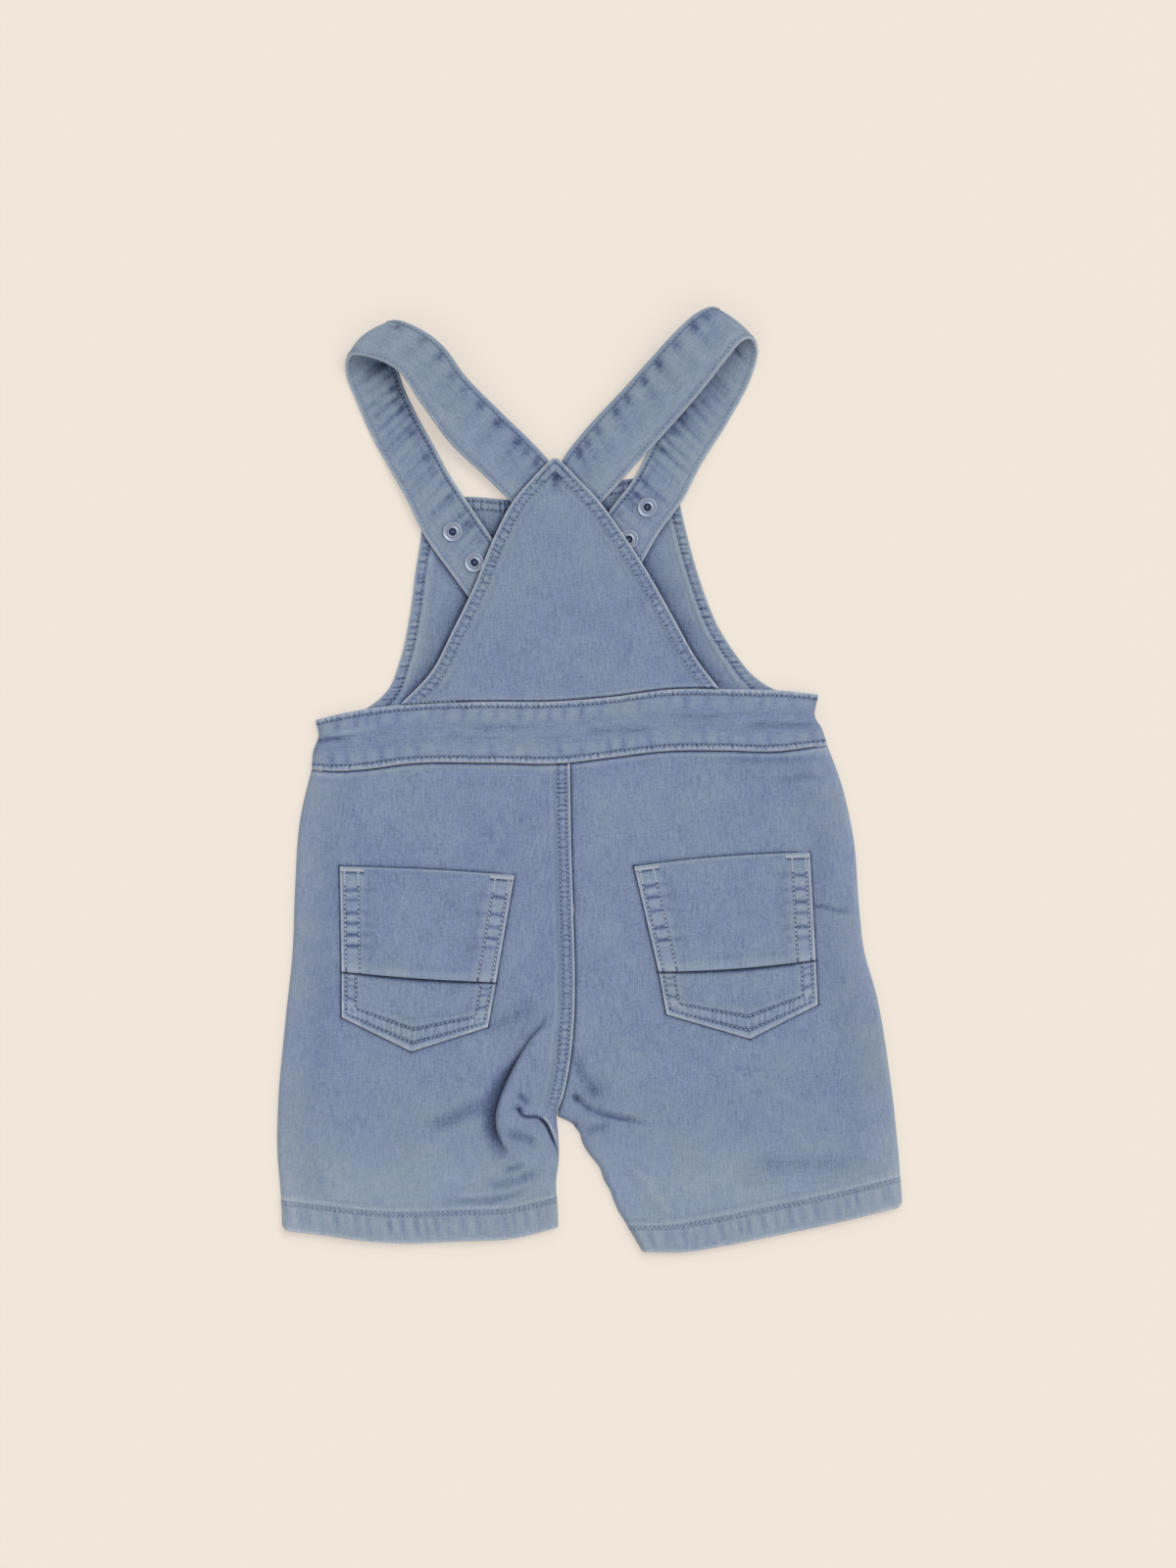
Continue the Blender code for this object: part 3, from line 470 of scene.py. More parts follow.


# %% [markdown]
# ## Denim
#
# Denim is a twill of blue warp threads over pale weft. Washing takes the dye off wherever the cloth stands
# proud, so one number, the fade, can drive a colour ramp from deep indigo in the creases to the rubbed edges.
# The fade adds up how worn each point is and the shade painted on it, streaks of thick and thin thread, and
# large soft patches.
# A photograph as texture would be simpler, but a ramp over noise can be as fine as the real weave.

# %% Shader arithmetic
class Value:
    """A number or a vector on its way through a material. The usual operators add the Math nodes."""

    def __init__(self, shader, socket):
        self.shader, self.socket = shader, socket

    def _math(self, operation, first, second):
        return self.shader.node("ShaderNodeMath", {"operation": operation}, {0: first, 1: second})

    def __add__(self, other):
        return self._math("ADD", self, other)

    def __sub__(self, other):
        return self._math("SUBTRACT", self, other)

    def __rsub__(self, other):
        return self._math("SUBTRACT", other, self)

    def __mul__(self, other):
        return self._math("MULTIPLY", self, other)

    __radd__, __rmul__ = __add__, __mul__


class Shader:
    """A material whose nodes are made from Python expressions."""

    def __init__(self, name, **constants):
        self.material = bpy.data.materials.new(name)
        self.material.use_nodes = True
        self.tree = self.material.node_tree
        self.surface = self.tree.nodes["Principled BSDF"]
        for socket, value in constants.items():
            self.surface.inputs[socket.replace("_", " ")].default_value = value

    def node(self, kind, settings=(), inputs=(), output=0):
        """Adds a node: its settings first, then the values or links of its sockets. Gives one output."""
        made = self.tree.nodes.new(kind)
        for key, value in dict(settings).items():
            if key == "stops":
                ramp = made.color_ramp
                while len(ramp.elements) < len(value):
                    ramp.elements.new(0.5)
                for element, (place, colour) in zip(ramp.elements, value):
                    element.position = place
                    element.color = (*colour, 1)
            else:
                setattr(made, key, value)
        for key, value in dict(inputs).items():
            if isinstance(value, Value):
                self.tree.links.new(value.socket, made.inputs[key])
            else:
                made.inputs[key].default_value = value
        return Value(self, made.outputs[output])

    def noise(self, vector, scale, detail=2.0, roughness=0.5):
        """Soft noise from 0 to 1, with its own scale along each axis, in cells a metre."""
        stretched = self.node("ShaderNodeMapping", inputs={"Vector": vector, "Scale": scale})
        return self.node("ShaderNodeTexNoise", inputs={
            "Vector": stretched, "Scale": 1.0, "Detail": detail, "Roughness": roughness})

    def feed(self, socket, value):
        """Links a value to a socket of the surface's own shader."""
        self.tree.links.new(value.socket, self.surface.inputs[socket])


def screen(red, green, blue):
    """A linear colour from the 0 to 255 numbers that a screen shows."""
    shown = np.array([red, green, blue]) / 255
    return tuple(np.where(shown <= 0.04045, shown / 12.92, ((shown + 0.055) / 1.055) ** 2.4).tolist())


# %% Denim finishes
BLUE = [(0.0, screen(42, 52, 78)), (0.28, screen(86, 99, 131)), (0.5, screen(121, 136, 168)),
        (0.72, screen(144, 157, 184)), (1.0, screen(184, 190, 208))]
GREEN = [(0.0, screen(44, 56, 74)), (0.28, screen(92, 108, 130)), (0.5, screen(130, 145, 165)),
         (0.72, screen(151, 164, 179)), (1.0, screen(186, 192, 204))]


def denim(name, lift):
    """Washed denim. lift makes all of it paler or, below 0, darker."""
    shader = Shader(name, Roughness=0.88, Sheen_Weight=0.12, Sheen_Roughness=0.5, Specular_IOR_Level=0.25)
    cloth = shader.node("ShaderNodeAttribute", {"attribute_name": "cloth"}, output="Vector")
    place = shader.node("ShaderNodeTexCoord", output="Object")
    wear = shader.node("ShaderNodeSeparateXYZ", inputs={0: cloth}, output=2)
    warp = shader.noise(cloth, (1500, 110, 0), 2, 0.6)
    weft = shader.noise(cloth, (130, 1500, 0), 2, 0.6)
    grain = shader.noise(place, (800, 800, 800), 2, 0.6)
    cloud = shader.noise(place, (90, 90, 90), 3, 0.65)
    patch = shader.noise(place, (26, 26, 26), 2)
    fade = (0.5 + lift + wear * 0.30 + (warp - 0.5) * 0.40 + (weft - 0.5) * 0.22 + (grain - 0.5) * 0.36
            + (cloud - 0.5) * 0.12)
    blue = shader.node("ShaderNodeValToRGB", {"stops": BLUE}, {0: fade})
    green = shader.node("ShaderNodeValToRGB", {"stops": GREEN}, {0: fade})
    from_middle = shader.node("ShaderNodeSeparateXYZ", inputs={0: place}, output=1) + 0.03
    tint = (patch - 0.5) * 2.0 + (cloud - 0.5) * 0.7 + wear * 0.55 + from_middle * from_middle * 11.0 + 0.2
    colour = shader.node("ShaderNodeMix", {"data_type": "RGBA", "clamp_factor": True},
                         {0: tint, 6: blue, 7: green}, output=2)
    shader.feed("Base Color", colour)
    twill = shader.node("ShaderNodeTexWave", {"bands_direction": "DIAGONAL"},
                        {"Vector": cloth, "Scale": 450.0})
    height = warp * 0.8 + weft * 0.6 + grain * 0.6 + twill * 0.25
    bump = shader.node("ShaderNodeBump", inputs={"Height": height, "Strength": 0.45, "Distance": 0.0004})
    shader.feed("Normal", bump)
    return shader.material


DENIM = denim("washed_denim", 0.0)
DENIM_INSIDE = denim("washed_denim_inside", -0.05)
print("materials:", [m.name for m in bpy.data.materials if m.name.startswith("washed")])

# %% [markdown]
# ## How the back lies
#
# The legs aren't quite flat. Long low waves run through them, a deep fold hangs over itself left of the
# crotch, and smaller creases fan out from it. Each is a path with a profile: full at the path, and gone after
# its reach on either side. The deep fold is also pushed sideways, so that its crest hangs over the valley, and
# the shadow under the crest is painted dark. Crease troughs are darker too: partly dye that stays there, partly
# painted shade.

# %% Folds and waves
# a fold's own darkening is partly dye that stays in its trough and partly painted shade; its line is a thin
# painted shadow beside the path, or a painted highlight where it is above 0
Fold = namedtuple("Fold", "path height left right wear line", defaults=(0.0, 0.0))
DEEP_FOLD = Fold([(-18.5, -115), (-22, -127), (-28, -137), (-33, -145.5), (-37.3, -154), (-40.8, -162),
                  (-43.3, -170), (-43.8, -177), (-42.5, -186), (-39, -196)], 5.5, 22.0, 3.0)
NEAR = 12                # no crease reaches further from its path
FOLD_LEAN = 3.0          # how far the deep fold's crest hangs over to the left
VALLEY = -3.5            # where the cloth beside it comes out from under the crest
CREASES = [
    Fold([(-35, -167.5), (-33, -171.3), (-26.5, -172), (-22.8, -174.9), (-19, -182), (-17, -187)],
         1.4, 6.0, 1.5, 0.0, -1.6),
    Fold([(-25, -172.3), (-22.4, -175.4), (-19.6, -181), (-17.2, -187), (-15, -194)],
         -0.5, 1.0, 1.6, 0.0, -2.0),
    Fold([(-24, -171.6), (-21, -175), (-18, -181), (-16.2, -187), (-14, -192)], 0.2, 0.8, 0.8, 0.0, 1.1),
    Fold([(-35, -160.5), (-32.5, -163.5), (-30, -167)], -0.7, 2.5, 2.5, -0.7),
    Fold([(-43, -180), (-33, -183.3), (-25.5, -187)], -0.9, 4.0, 5.0, -0.6),
    Fold([(-45, -199.5), (-39, -198.5), (-33, -196)], -0.6, 2.5, 3.0, -0.6),
    Fold([(-56, -206.5), (-47, -207), (-38.5, -205.6), (-24, -199)], -0.6, 4.0, 4.5, -0.6),
    Fold([(-76, -214.5), (-66, -215.2), (-52, -214.6), (-41, -212.5), (-26, -206)], -0.4, 2.5, 4.0, -0.6),
    Fold([(-74, -217), (-48, -211), (-20, -209)], 0.8, 7.0, 7.0, 0.15),
    Fold([(-86, -179), (-66, -172), (-50, -163)], -0.8, 6.0, 6.0, -0.5),
    Fold([(-56, -128), (-40, -123), (-26, -113)], -0.4, 6.0, 4.0, -0.25),
    Fold([(-12, -160), (-7, -162.5), (-2, -167), (5, -170.3), (15, -172.8), (22, -174.2), (34, -178)],
         -1.2, 3.0, 4.5, -0.35, -0.5),
    Fold([(-9, -170), (6, -176), (20, -180)], 1.2, 4.0, 6.0),
    Fold([(-4, -182), (3, -178.5), (12, -175)], -0.5, 3.0, 3.5, -0.5),
    Fold([(-7, -140), (-4, -150), (4, -163)], -0.4, 4.0, 4.0, -0.35),
    Fold([(108, -64.5), (118, -65), (128, -67.5), (138, -68.5)], -0.8, 2.5, 3.5, -0.35, -0.25),
    Fold([(62, 10.5), (90, 9.6), (126, 10.5)], -0.4, 2.5, 3.0, -0.25),
    Fold([(92, -1.5), (99, -0.8), (112, 1.2), (123, -1.6)], -0.4, 2.5, 3.5, -0.3),
    Fold([(70, -203), (92, -197), (122, -196), (150, -188)], -0.4, 8.0, 10.0, -0.3),
    Fold([(20, -196), (34, -212), (44, -228)], 0.6, 6.0, 6.0, 0.25),
]
# their troughs are darker, partly from dye that stays and partly as painted shade
FRONT_CREASES = [         # on the side that lies down, where a trough rises from the table
    Fold([(-30, -150), (-52, -158), (-82, -160)], -0.55, 4.0, 5.0, -0.5),
    Fold([(-28, -172), (-50, -184), (-74, -189)], -0.45, 3.5, 4.5, -0.4),
    Fold([(-24, -134), (-40, -121), (-63, -113)], -0.4, 4.0, 5.0, -0.35),
    Fold([(-143, -58), (-118, -66), (-96, -67)], -0.45, 3.0, 4.5, -0.4),
    Fold([(-138, -195), (-112, -204), (-84, -207)], -0.4, 5.0, 6.0, -0.3),
    Fold([(10, -158), (28, -168), (60, -172)], -0.55, 4.0, 5.0, -0.5),
    Fold([(16, -142), (36, -135), (52, -121)], -0.4, 4.0, 4.0, -0.35),
    Fold([(128, -88), (106, -96), (82, -98)], -0.45, 3.0, 5.0, -0.4),
    Fold([(60, -206), (88, -198), (122, -196)], -0.4, 5.0, 6.0, -0.3),
    Fold([(-78, 62), (-50, 54), (-20, 57)], -0.4, 4.0, 5.0, -0.35),
    Fold([(8, 74), (30, 64), (61, 60)], -0.35, 3.5, 4.5, -0.35),
    Fold([(-66, 100), (-40, 105), (-16, 101)], -0.3, 4.0, 4.0, -0.25),
]
Wobble = namedtuple("Wobble", "height reach push")
WOBBLES = [Wobble(-178.2, 1.6, -0.7), Wobble(-197.8, 3.5, 0.5), Wobble(-204.5, 3.0, -0.4),
           Wobble(-210.5, 3.0, 0.5), Wobble(-220.5, 3.5, -0.5)]     # where the right inseam wanders
# small pits with painted shade: place, radius, depth and darkness
PITS = [(-34.6, -168.6, 1.4, 0.7, 1.2), (-6.5, -162.6, 2.2, 0.4, 0.9), (-7.2, -177.2, 1.3, 0.2, 1.2),
        (3.0, -159.0, 4.0, 0.2, 0.4)]
Wave = namedtuple("Wave", "size x_period x_phase y_period y_phase")
WAVES = [Wave(0.30, 47.0, 0.4, 90.0, 1.1), Wave(0.22, 29.0, 2.0, 61.0, 0.3)]


def profile(fold, x, y):
    """How much of a fold there is: 1 on its path, eased to 0 at its reach and towards both ends."""
    signed, share, heading = beside(smooth(fold.path, 40), x, y)
    reach = np.where(signed > 0, fold.left, fold.right)
    ends = ease(share / 0.3) * ease((1 - share) / 0.3)
    return ends * (1 - ease(np.abs(signed) / reach)), signed, share, heading


def creased(folds, x, y):
    """The height, and how worn and shaded, that folds add up to. Each is worked out only near its own path.

    A fold's darkening goes with its profile: partly dye that stays in a trough, partly painted shade. Its line
    is a thin bell beside the path that fades along it: a painted shadow below 0 and a painted highlight above.
    """
    z, wear = np.zeros(x.shape), np.zeros(x.shape)
    for fold in folds:
        (x_low, y_low), (x_high, y_high) = np.min(fold.path, axis=0) - NEAR, np.max(fold.path, axis=0) + NEAR
        near = (x > x_low) & (x < x_high) & (y > y_low) & (y < y_high)
        if near.any():
            amount, signed, share, _ = profile(fold, x[near], y[near])
            z[near] += fold.height * amount
            thin = ease(share / 0.1) * ease((1 - share) / 0.5) * np.exp(-((signed + 0.4) / 0.8) ** 2)
            wear[near] += fold.wear * amount + fold.line * thin
    return z, wear


def leg_face(x, y):
    """Height of the back legs' outer face without its seams, and how worn and painted with shade its folds make
    it.
    """
    z = LEG_FACE + sum(wave.size * np.sin(2 * pi * x / wave.x_period + wave.x_phase)
                       * np.cos(2 * pi * y / wave.y_period + wave.y_phase) for wave in WAVES)
    creases, wear = creased(CREASES, x, y)
    return z + DEEP_FOLD.height * profile(DEEP_FOLD, x, y)[0] + creases, wear


def bib_face(y):
    """Height of the back bib's outer face: it climbs from the waistband onto the strap ends."""
    return BIB_FACE_LOW + (BIB_FACE_HIGH - BIB_FACE_LOW) * ease((y - 45) / 40)


print(f"{len(CREASES)} creases on the back of the legs, {len(FRONT_CREASES)} on the front")

# %% [markdown]
# ## Thread
#
# Each stitch is a small bead of thread whose ends dive into the cloth. One bead has a few dozen faces, and a
# whole row is that bead copied along a line of the panel's grid as one array, turned to the seam and to the
# cloth's normal. Rows are collected while the panels are made, and become one mesh for each part of the
# garment.

# %% Stitches
STITCH = 2.3             # pitch along a row
THREAD = 0.34            # half of the thread's width
BEAD_SHARE = 0.86        # how much of the pitch shows as thread
BEAD_SIDES = 6
FLATTENED = 0.8          # a bead's height over its width
SUNK = 0.9               # how far a bead's ends dive, in halves of its width
# painted shade on a stitch's ends, where the thread dives into its hole
END_DARK = 2.6           # how much darker the ends are
ROWS = {}                # for each group, its rows of stitches


def bead(long, half):
    """A bead's points (along, across, up) and faces: rings whose size is the root of 1 - |t|^3."""
    t = np.array([-0.88, -0.5, 0.0, 0.5, 0.88])
    turn = np.linspace(0, 2 * pi, BEAD_SIDES, endpoint=False)
    size = half * np.sqrt(1 - np.abs(t) ** 3)
    rings = np.stack(np.broadcast_arrays((t * long / 2)[:, None], size[:, None] * np.cos(turn),
                                         size[:, None] * np.sin(turn) * FLATTENED), axis=-1)
    tips = np.array([[-long / 2, 0, 0], [long / 2, 0, 0]])
    points = np.concatenate([rings.reshape(-1, 3), tips])
    points[:, 2] += 0.12 - SUNK * half * (2 * points[:, 0] / long) ** 4
    index = np.arange(len(t) * BEAD_SIDES).reshape(len(t), BEAD_SIDES)
    after = np.roll(index, -1, axis=1)
    walls = np.stack([index[:-1], after[:-1], after[1:], index[1:]], axis=-1).reshape(-1, 4)
    first, last = index.size, index.size + 1
    faces = walls.tolist() + [[first, b, a] for a, b in zip(index[0].tolist(), after[0].tolist())]
    faces += [[last, a, b] for a, b in zip(index[-1].tolist(), after[-1].tolist())]
    return points, faces


def sew(group, line, normal, ends=(1.0, 1.0), pitch=STITCH, wear=0.8, thick=THREAD):
    """Notes the stitches of one row: even places along it, with their headings and normals."""
    span = length(line)
    count = max(1, int((span - sum(ends)) / pitch))
    rng = np.random.default_rng(len(ROWS.get(group, [])) + 11)
    share = (ends[0] + (np.arange(count) + 0.5 + rng.uniform(-0.05, 0.05, count)) * pitch) / span
    share = share[share < 1]
    middle, up = at(line, share), unit(at(np.concatenate([line, normal], axis=1), share)[:, 3:])
    heading = unit(at(line, np.minimum(share + 0.6 / span, 1)) - at(line, np.maximum(share - 0.6 / span, 0)))
    ROWS.setdefault(group, []).append((middle, heading, up, pitch, wear, thick))


def sew_rows(group, panel, side, rows, **thread):
    """Sews rows along the lines of a panel's grid that lie at these distances from one edge."""
    for row in rows:
        sew(group, *panel.seam(side, row), **thread)


def thread_mesh(group, material):
    """All the stitches of one group as a joined mesh, with shade painted on the ends where the thread dives in.
    """
    points, faces, cloth, first = [], [], [], 0
    for middle, heading, up, pitch, wear, thick in ROWS[group]:
        local, local_faces = bead(BEAD_SHARE * pitch, thick)
        side = unit(np.cross(up, heading))
        axes = np.stack([heading, side, unit(np.cross(heading, side))], axis=1)
        placed = middle[:, None] + np.einsum("pk,nkc->npc", local, axes)
        placed[..., 2] = np.maximum(placed[..., 2], LOWEST)
        dark = wear - END_DARK * np.abs(local[:, 0] / (0.5 * pitch)) ** 4
        points.append(placed.reshape(-1, 3) * MM)
        cloth.append(np.tile(np.column_stack([local[:, :2] * MM, dark]), (len(middle), 1)))
        start = first + len(local) * np.arange(len(middle))
        faces += [[s + c for c in face] for s in start.tolist() for face in local_faces]
        first += placed.shape[0] * placed.shape[1]
    mesh_piece(f"thread_{group}", np.concatenate(points), faces, np.concatenate(cloth), material)
    print(f"thread_{group}: {sum(len(row[0]) for row in ROWS[group])} stitches")


print(f"each stitch has {len(bead(STITCH, THREAD)[1])} faces")

# %% [markdown]
# ## A panel over its node
#
# A real panel is cut flat, so its flat size says how much cloth it takes. Each finished shell stands for one
# solid of the frame and hides it. One function does this for every panel, so that none is forgotten.

# %% Dressing a node
def dress(node, outer, inner, cloth, flat, share, rests_on, held="laid", finish=(DENIM, "denim"), under=None):
    """Puts a shell over a node and hides the node, and works out the cut's area from its size in millimetres
    and the share that the cut fills.
    """
    piece = shell(f"cloth_{node}", outer, inner, cloth, *finish, under)
    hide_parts(node)
    area = None if share == 1 else flat[0] * flat[1] * share * MM * MM
    flat[0] * MM
    flat[1] * MM


def dress_panel(panel, node, degrees, *cut, **finish):
    """Dresses a node with a panel whose weave is turned by an angle."""
    dress(node, panel.outer, panel.inner, panel.cloth(degrees), *cut, **finish)



# %% [markdown]
# ## Waistband
#
# The back waistband is one curved strip of two layers. A row of stitches runs near both long edges, and the
# thread draws the cloth into small upright puckers. Its ends roll down at the side seams, where the pull of
# the seam leaves two short creases.

# %% Waistband
GRAIN_ALONG_X = 90       # degrees from the weave's own along to the panel's +Y
BAND_ROWS = {"top": 2.3, "low": 2.4}
# the waistband's crease troughs are darker, partly from dye that stays and partly as painted shade
BAND_CREASES = [
    Fold([(-145, 18.5), (-136, 19.6), (-122, 21.5)], -0.4, 2.2, 2.2, -0.8),
    Fold([(-136, 21.5), (-124, 23.4), (-106, 27)], 0.25, 2.2, 2.2, 0.5),
    Fold([(76, 27), (90, 27), (101, 27), (106, 26.6), (120, 28.6)], -0.175, 2.2, 2.2, -0.35),
    Fold([(-2, 24), (16, 24.6), (34, 25)], -0.125, 2.2, 2.2, -0.25),
    Fold([(-60, 25), (-44, 26.5), (-26, 25.5)], -0.125, 2.2, 2.2, -0.25),
    Fold([(40, 32), (60, 31.5), (74, 32.5)], -0.1, 2.2, 2.2, -0.2),
]


def back_waistband():
    """A strip between its two long curves, with both ends rolled down to the table."""
    band = Panel(smooth(BAND_LEFT_END), smooth(BAND_RIGHT_END), smooth(BAND_TOP), smooth(BAND_LOW),
                 rolled(), rolled(), steps(BAND_ROWS["top"]), steps(BAND_ROWS["low"]), pitch=1.0)
    band.z += BAND_FACE
    for distance, row, seed in ((band.top, BAND_ROWS["top"], 21), (band.low, BAND_ROWS["low"], 22)):
        band.groove(distance, row, amount=1.6, width=0.4)
        band.rubbed(distance, size=0.6)
        band.wear += 0.55 * within(distance, -1, row, 0.6)
        band.pucker(band.x, uneven(-138, 118, 2.7, seed), 0.12, within(distance, 0.6, row, 0.7), width=0.7,
                    dye=2.2)
        band.pucker(band.x + 0.15 * distance, uneven(-138, 118, 8.5, seed + 2), 0.2,
                    within(distance, 3.0, 7.5, 5.0), width=2.0, dye=0.8)
        band.wear += 0.3 * within(distance, 2.8, 8, 6)
    relief, wear = creased(BAND_CREASES, band.x, band.y)
    band.z += relief
    band.wear += wear
    band.make_faces(BAND_WALL, {"left": 1.0, "right": 1.0}, rims=("top", "low"))
    for side, row in BAND_ROWS.items():
        sew_rows("waistband", band, side, [row], ends=(4, 4), wear=0.5)
    dress_panel(band, "back_waistband", GRAIN_ALONG_X, (272, 36), 0.92, ["front_leg_left", "front_leg_right"])


back_waistband()

# %% [markdown]
# ## Back bib
#
# The back bib is almost a triangle. Both slanting edges are hemmed with two stitch rows, and the hem is drawn
# in a little, so it ripples. At the tip the hems meet and the rows turn into each other.

# %% Back bib
BIB_TIP = (-17.3, 153.2)      # where the rows of both hems meet
# pits at the tip, with painted shade in them
BIB_TIP_PITS = [(*BIB_TIP, 2.2, 0.7, 1.5), (BIB_TIP[0] + 0.3, BIB_TIP[1] - 4, 2.0, 0.2, 0.6)]
BIB_ROW_STARTS = (3.0, 11.0)  # how far from the tip each row begins


def back_bib():
    """Almost a triangle: its top edge is the short one between the two hems' tips."""
    left, right = smooth(BIB_LEFT), smooth(BIB_RIGHT)
    low = stretch(smooth(BAND_TOP), left[-1, 0], right[-1, 0], -GAP)
    left[-1], right[-1] = low[0], low[-1]
    bib = Panel(left, right, np.linspace(left[0], right[0], 20), low,
                steps(*BIB_ROWS), steps(*BIB_ROWS), steps(), steps())
    bib.z += bib_face(bib.y)
    for distance, other, seed in ((bib.left, bib.right, 31), (bib.right, bib.left, 32)):
        bib.band(distance, BIB_BAND, HEM_RISE)
        for row in BIB_ROWS:
            bib.groove(distance, row, amount=0.85 * ease((other - row) / 0.8 + 0.5))
        bib.rubbed(distance, size=1.3, width=0.9)
        bib.pucker(bib.top - 0.5 * distance, uneven(9, 168, 3.4, seed), 0.2,
                   within(distance, 2.4, 6.0, 1.2), width=0.8, dye=1.7)
        bib.pucker(bib.top, uneven(9, 168, 3.0, seed + 2), 0.1, within(distance, 1.0, 2.6, 0.8), width=0.5,
                   dye=0.9)
    bib.wear += 0.5 * within(bib.low, 0.8, 3.0, 1.5)
    # painted shade on the bib beside the waistband's top edge
    bib.painted_shade_beside(low, amount=1.2)
    bib.blot(BIB_TIP_PITS)
    bib.make_faces(WALL)
    for side in LEGS:
        for row, start in zip(BIB_ROWS, BIB_ROW_STARTS):
            sew_rows("back_bib", bib, side, [row], ends=(start, 1))
    dress_panel(bib, "back_bib", 2, (176, 136), 0.50, ["strap_left", "strap_right", "front_bib"])


back_bib()

# %% [markdown]
# ## Back legs
#
# Each leg is a front and a back panel, joined at the side seam and the inseam, with a turned-up hem sewn by a
# twin needle. The left back leg laps over the right one at the seat. The back panels roll down to the table
# at their sides, so they are built with their side edges on a quarter circle.

# %% The grid of a back leg
CORNER = 3.2                 # radius of the hem's corner at the side seam


def in_order(side, outside, inside):
    """What belongs to the outside and the inside of a leg, put in order from left to right."""
    return (outside, inside) if side == "left" else (inside, outside)


def pocket_line(side, first, last, bow=0.0, count=40):
    """A line between two named corners of a pocket, with a parabola's bow: 4 t (1 - t) of its height."""
    start, end = (np.array(getattr(POCKETS[side], corner), float) for corner in (first, last))
    t = np.linspace(0, 1, count)[:, None]
    return start + t * (end - start) + np.array([0, bow]) * 4 * t * (1 - t)


def pocket_outline(side):
    """The pocket's top, and its sides and point as straight lines."""
    corners = "top_left", "seam_left", "low_left", "point", "low_right", "seam_right", "top_right"
    rest = [pocket_line(side, a, b, count=25) for a, b in zip(corners[:-1], corners[1:])]
    return [pocket_line(side, "top_left", "top_right", POCKETS[side].bow)] + rest


def leg_grid(side):
    """A back leg between its side seam and its seat seam, and the curve of its top."""
    leg = LEGS[side]
    half_gap = (0.5 * leg.inwards * GAP, 0)
    inside = joined(smooth(SEAT) - half_gap, smooth(leg.inseam) - half_gap)
    left, right = in_order(side, smooth(leg.side), inside)
    top = stretch(smooth(BAND_LOW), left[0, 0], right[0, 0], GAP)
    left[0], right[0] = top[0], top[-1]
    hem = between(smooth(leg.hem), left[-1], right[-1])
    lap_steps = steps(*LAP_ROWS, reach=9.5) if side == "left" else [4.5]
    seat_steps = np.unique(np.concatenate([rolled(), lap_steps]))
    seat_steps = seat_steps[np.concatenate([[True], np.diff(seat_steps) > 0.12])]
    panel = Panel(left, right, top, hem, *in_order(side, rolled(), seat_steps), steps(), steps(*HEM_ROWS),
                  pitch=0.8 if side == "left" else 1.0)
    return panel, top


# %% Seams and folds of a back leg
def turned_up_hem(panel, side):
    """The hem's second layer, its twin rows, and two sizes of puckers along them."""
    panel.band(panel.low, HEM_HEIGHT, HEM_RISE)
    panel.groove(panel.low, *HEM_ROWS, amount=0.85, width=0.42)
    panel.rubbed(panel.low, size=0.8, width=1.4)
    panel.wear += 0.3 * np.exp(-((panel.low - HEM_HEIGHT - 0.7) / 0.7) ** 2)
    panel.pucker(panel.x + 0.2 * panel.low, uneven(-160, 165, 5.5, 41), 0.10, within(panel.low, 4, 12.8, 6),
                 width=1.8, dye=0.9)
    panel.pucker(panel.x, uneven(-160, 162, 2.2, 43), 0.06, within(panel.low, 13.0, 15.2, 0.6), width=0.45,
                 dye=1.3)
    panel.round_corner(side, CORNER)


def lapped_seat(panel, seam, above):
    """The left leg's lap: its step and pale edge, two rows and their puckers. above fades it out below."""
    panel.z += HEM_RISE * above * ease((LAP + 0.9 - seam) / 0.9)
    panel.wear += above * (0.15 * within(seam, -1, LAP) + 1.0 * np.exp(-(seam / 1.1) ** 2)
                           + 0.3 * within(seam, 8, 10.5, 2))
    panel.groove(seam, *LAP_ROWS, amount=above, width=0.55, dye=1.35)
    panel.pucker(panel.y, uneven(-170, 6, 3.2, 42), 0.10, above * within(seam, 2.2, 6.2, 1.2), width=0.6,
                 dye=1.7)


def lean_over(panel):
    """Pushes the deep fold's crest to the left, square to its path, sinks its valley, and paints the shadow
    under the crest.
    """
    _, signed, share, heading = profile(DEEP_FOLD, panel.x, panel.y)
    ends = ease(share / 0.3) * ease((1 - share) / 0.3)
    lean = ends * ease((signed - VALLEY) / 2.0) * (1 - ease((signed - 1.0) / 14.0))
    panel.shift += FOLD_LEAN * lean[..., None] * np.dstack([heading[..., 1], -heading[..., 0]])
    bottom = VALLEY * ends
    wide = ease((share - 0.3) / 0.35)
    open_side = 1 - ease((bottom - signed - 2.0 * wide) / (2.4 + 6.5 * wide))
    painted_shadow = np.where(signed < bottom, open_side, 1 - ease((signed - bottom) / 2.0))
    dark = ease((share - 0.06) / 0.3) * ease((1 - share) / 0.2) * (1 - 0.25 * wide)
    # painted shadow of the overhanging crest, wide and soft towards the fold's lower end
    panel.wear -= 1.75 * dark * painted_shadow
    panel.z -= 1.2 * ends * np.exp(-((signed - VALLEY) / 3.0) ** 2) * (signed < 0)


def under_the_lap(panel, seam, above):
    """Painted shade on the right leg beside the lap, and its inseam wanders: a bell curve for each wobble."""
    panel.wear -= 1.1 * above * np.exp(-(seam / 0.8) ** 2)
    for height, reach, push in WOBBLES:
        panel.shift[..., 0] += push * np.exp(-((panel.y - height) / reach) ** 2 - (seam / 5) ** 2)


# %% Back legs
ROLL_FROM, ROLL_FULL = -160, -173     # heights between which the inseam takes up its roll
LAP_END = -170.5                      # the lap's rows stop here, at the crotch
LEG_GRAIN = {"left": -3.5, "right": 4.5}     # how far the weave is turned, in degrees


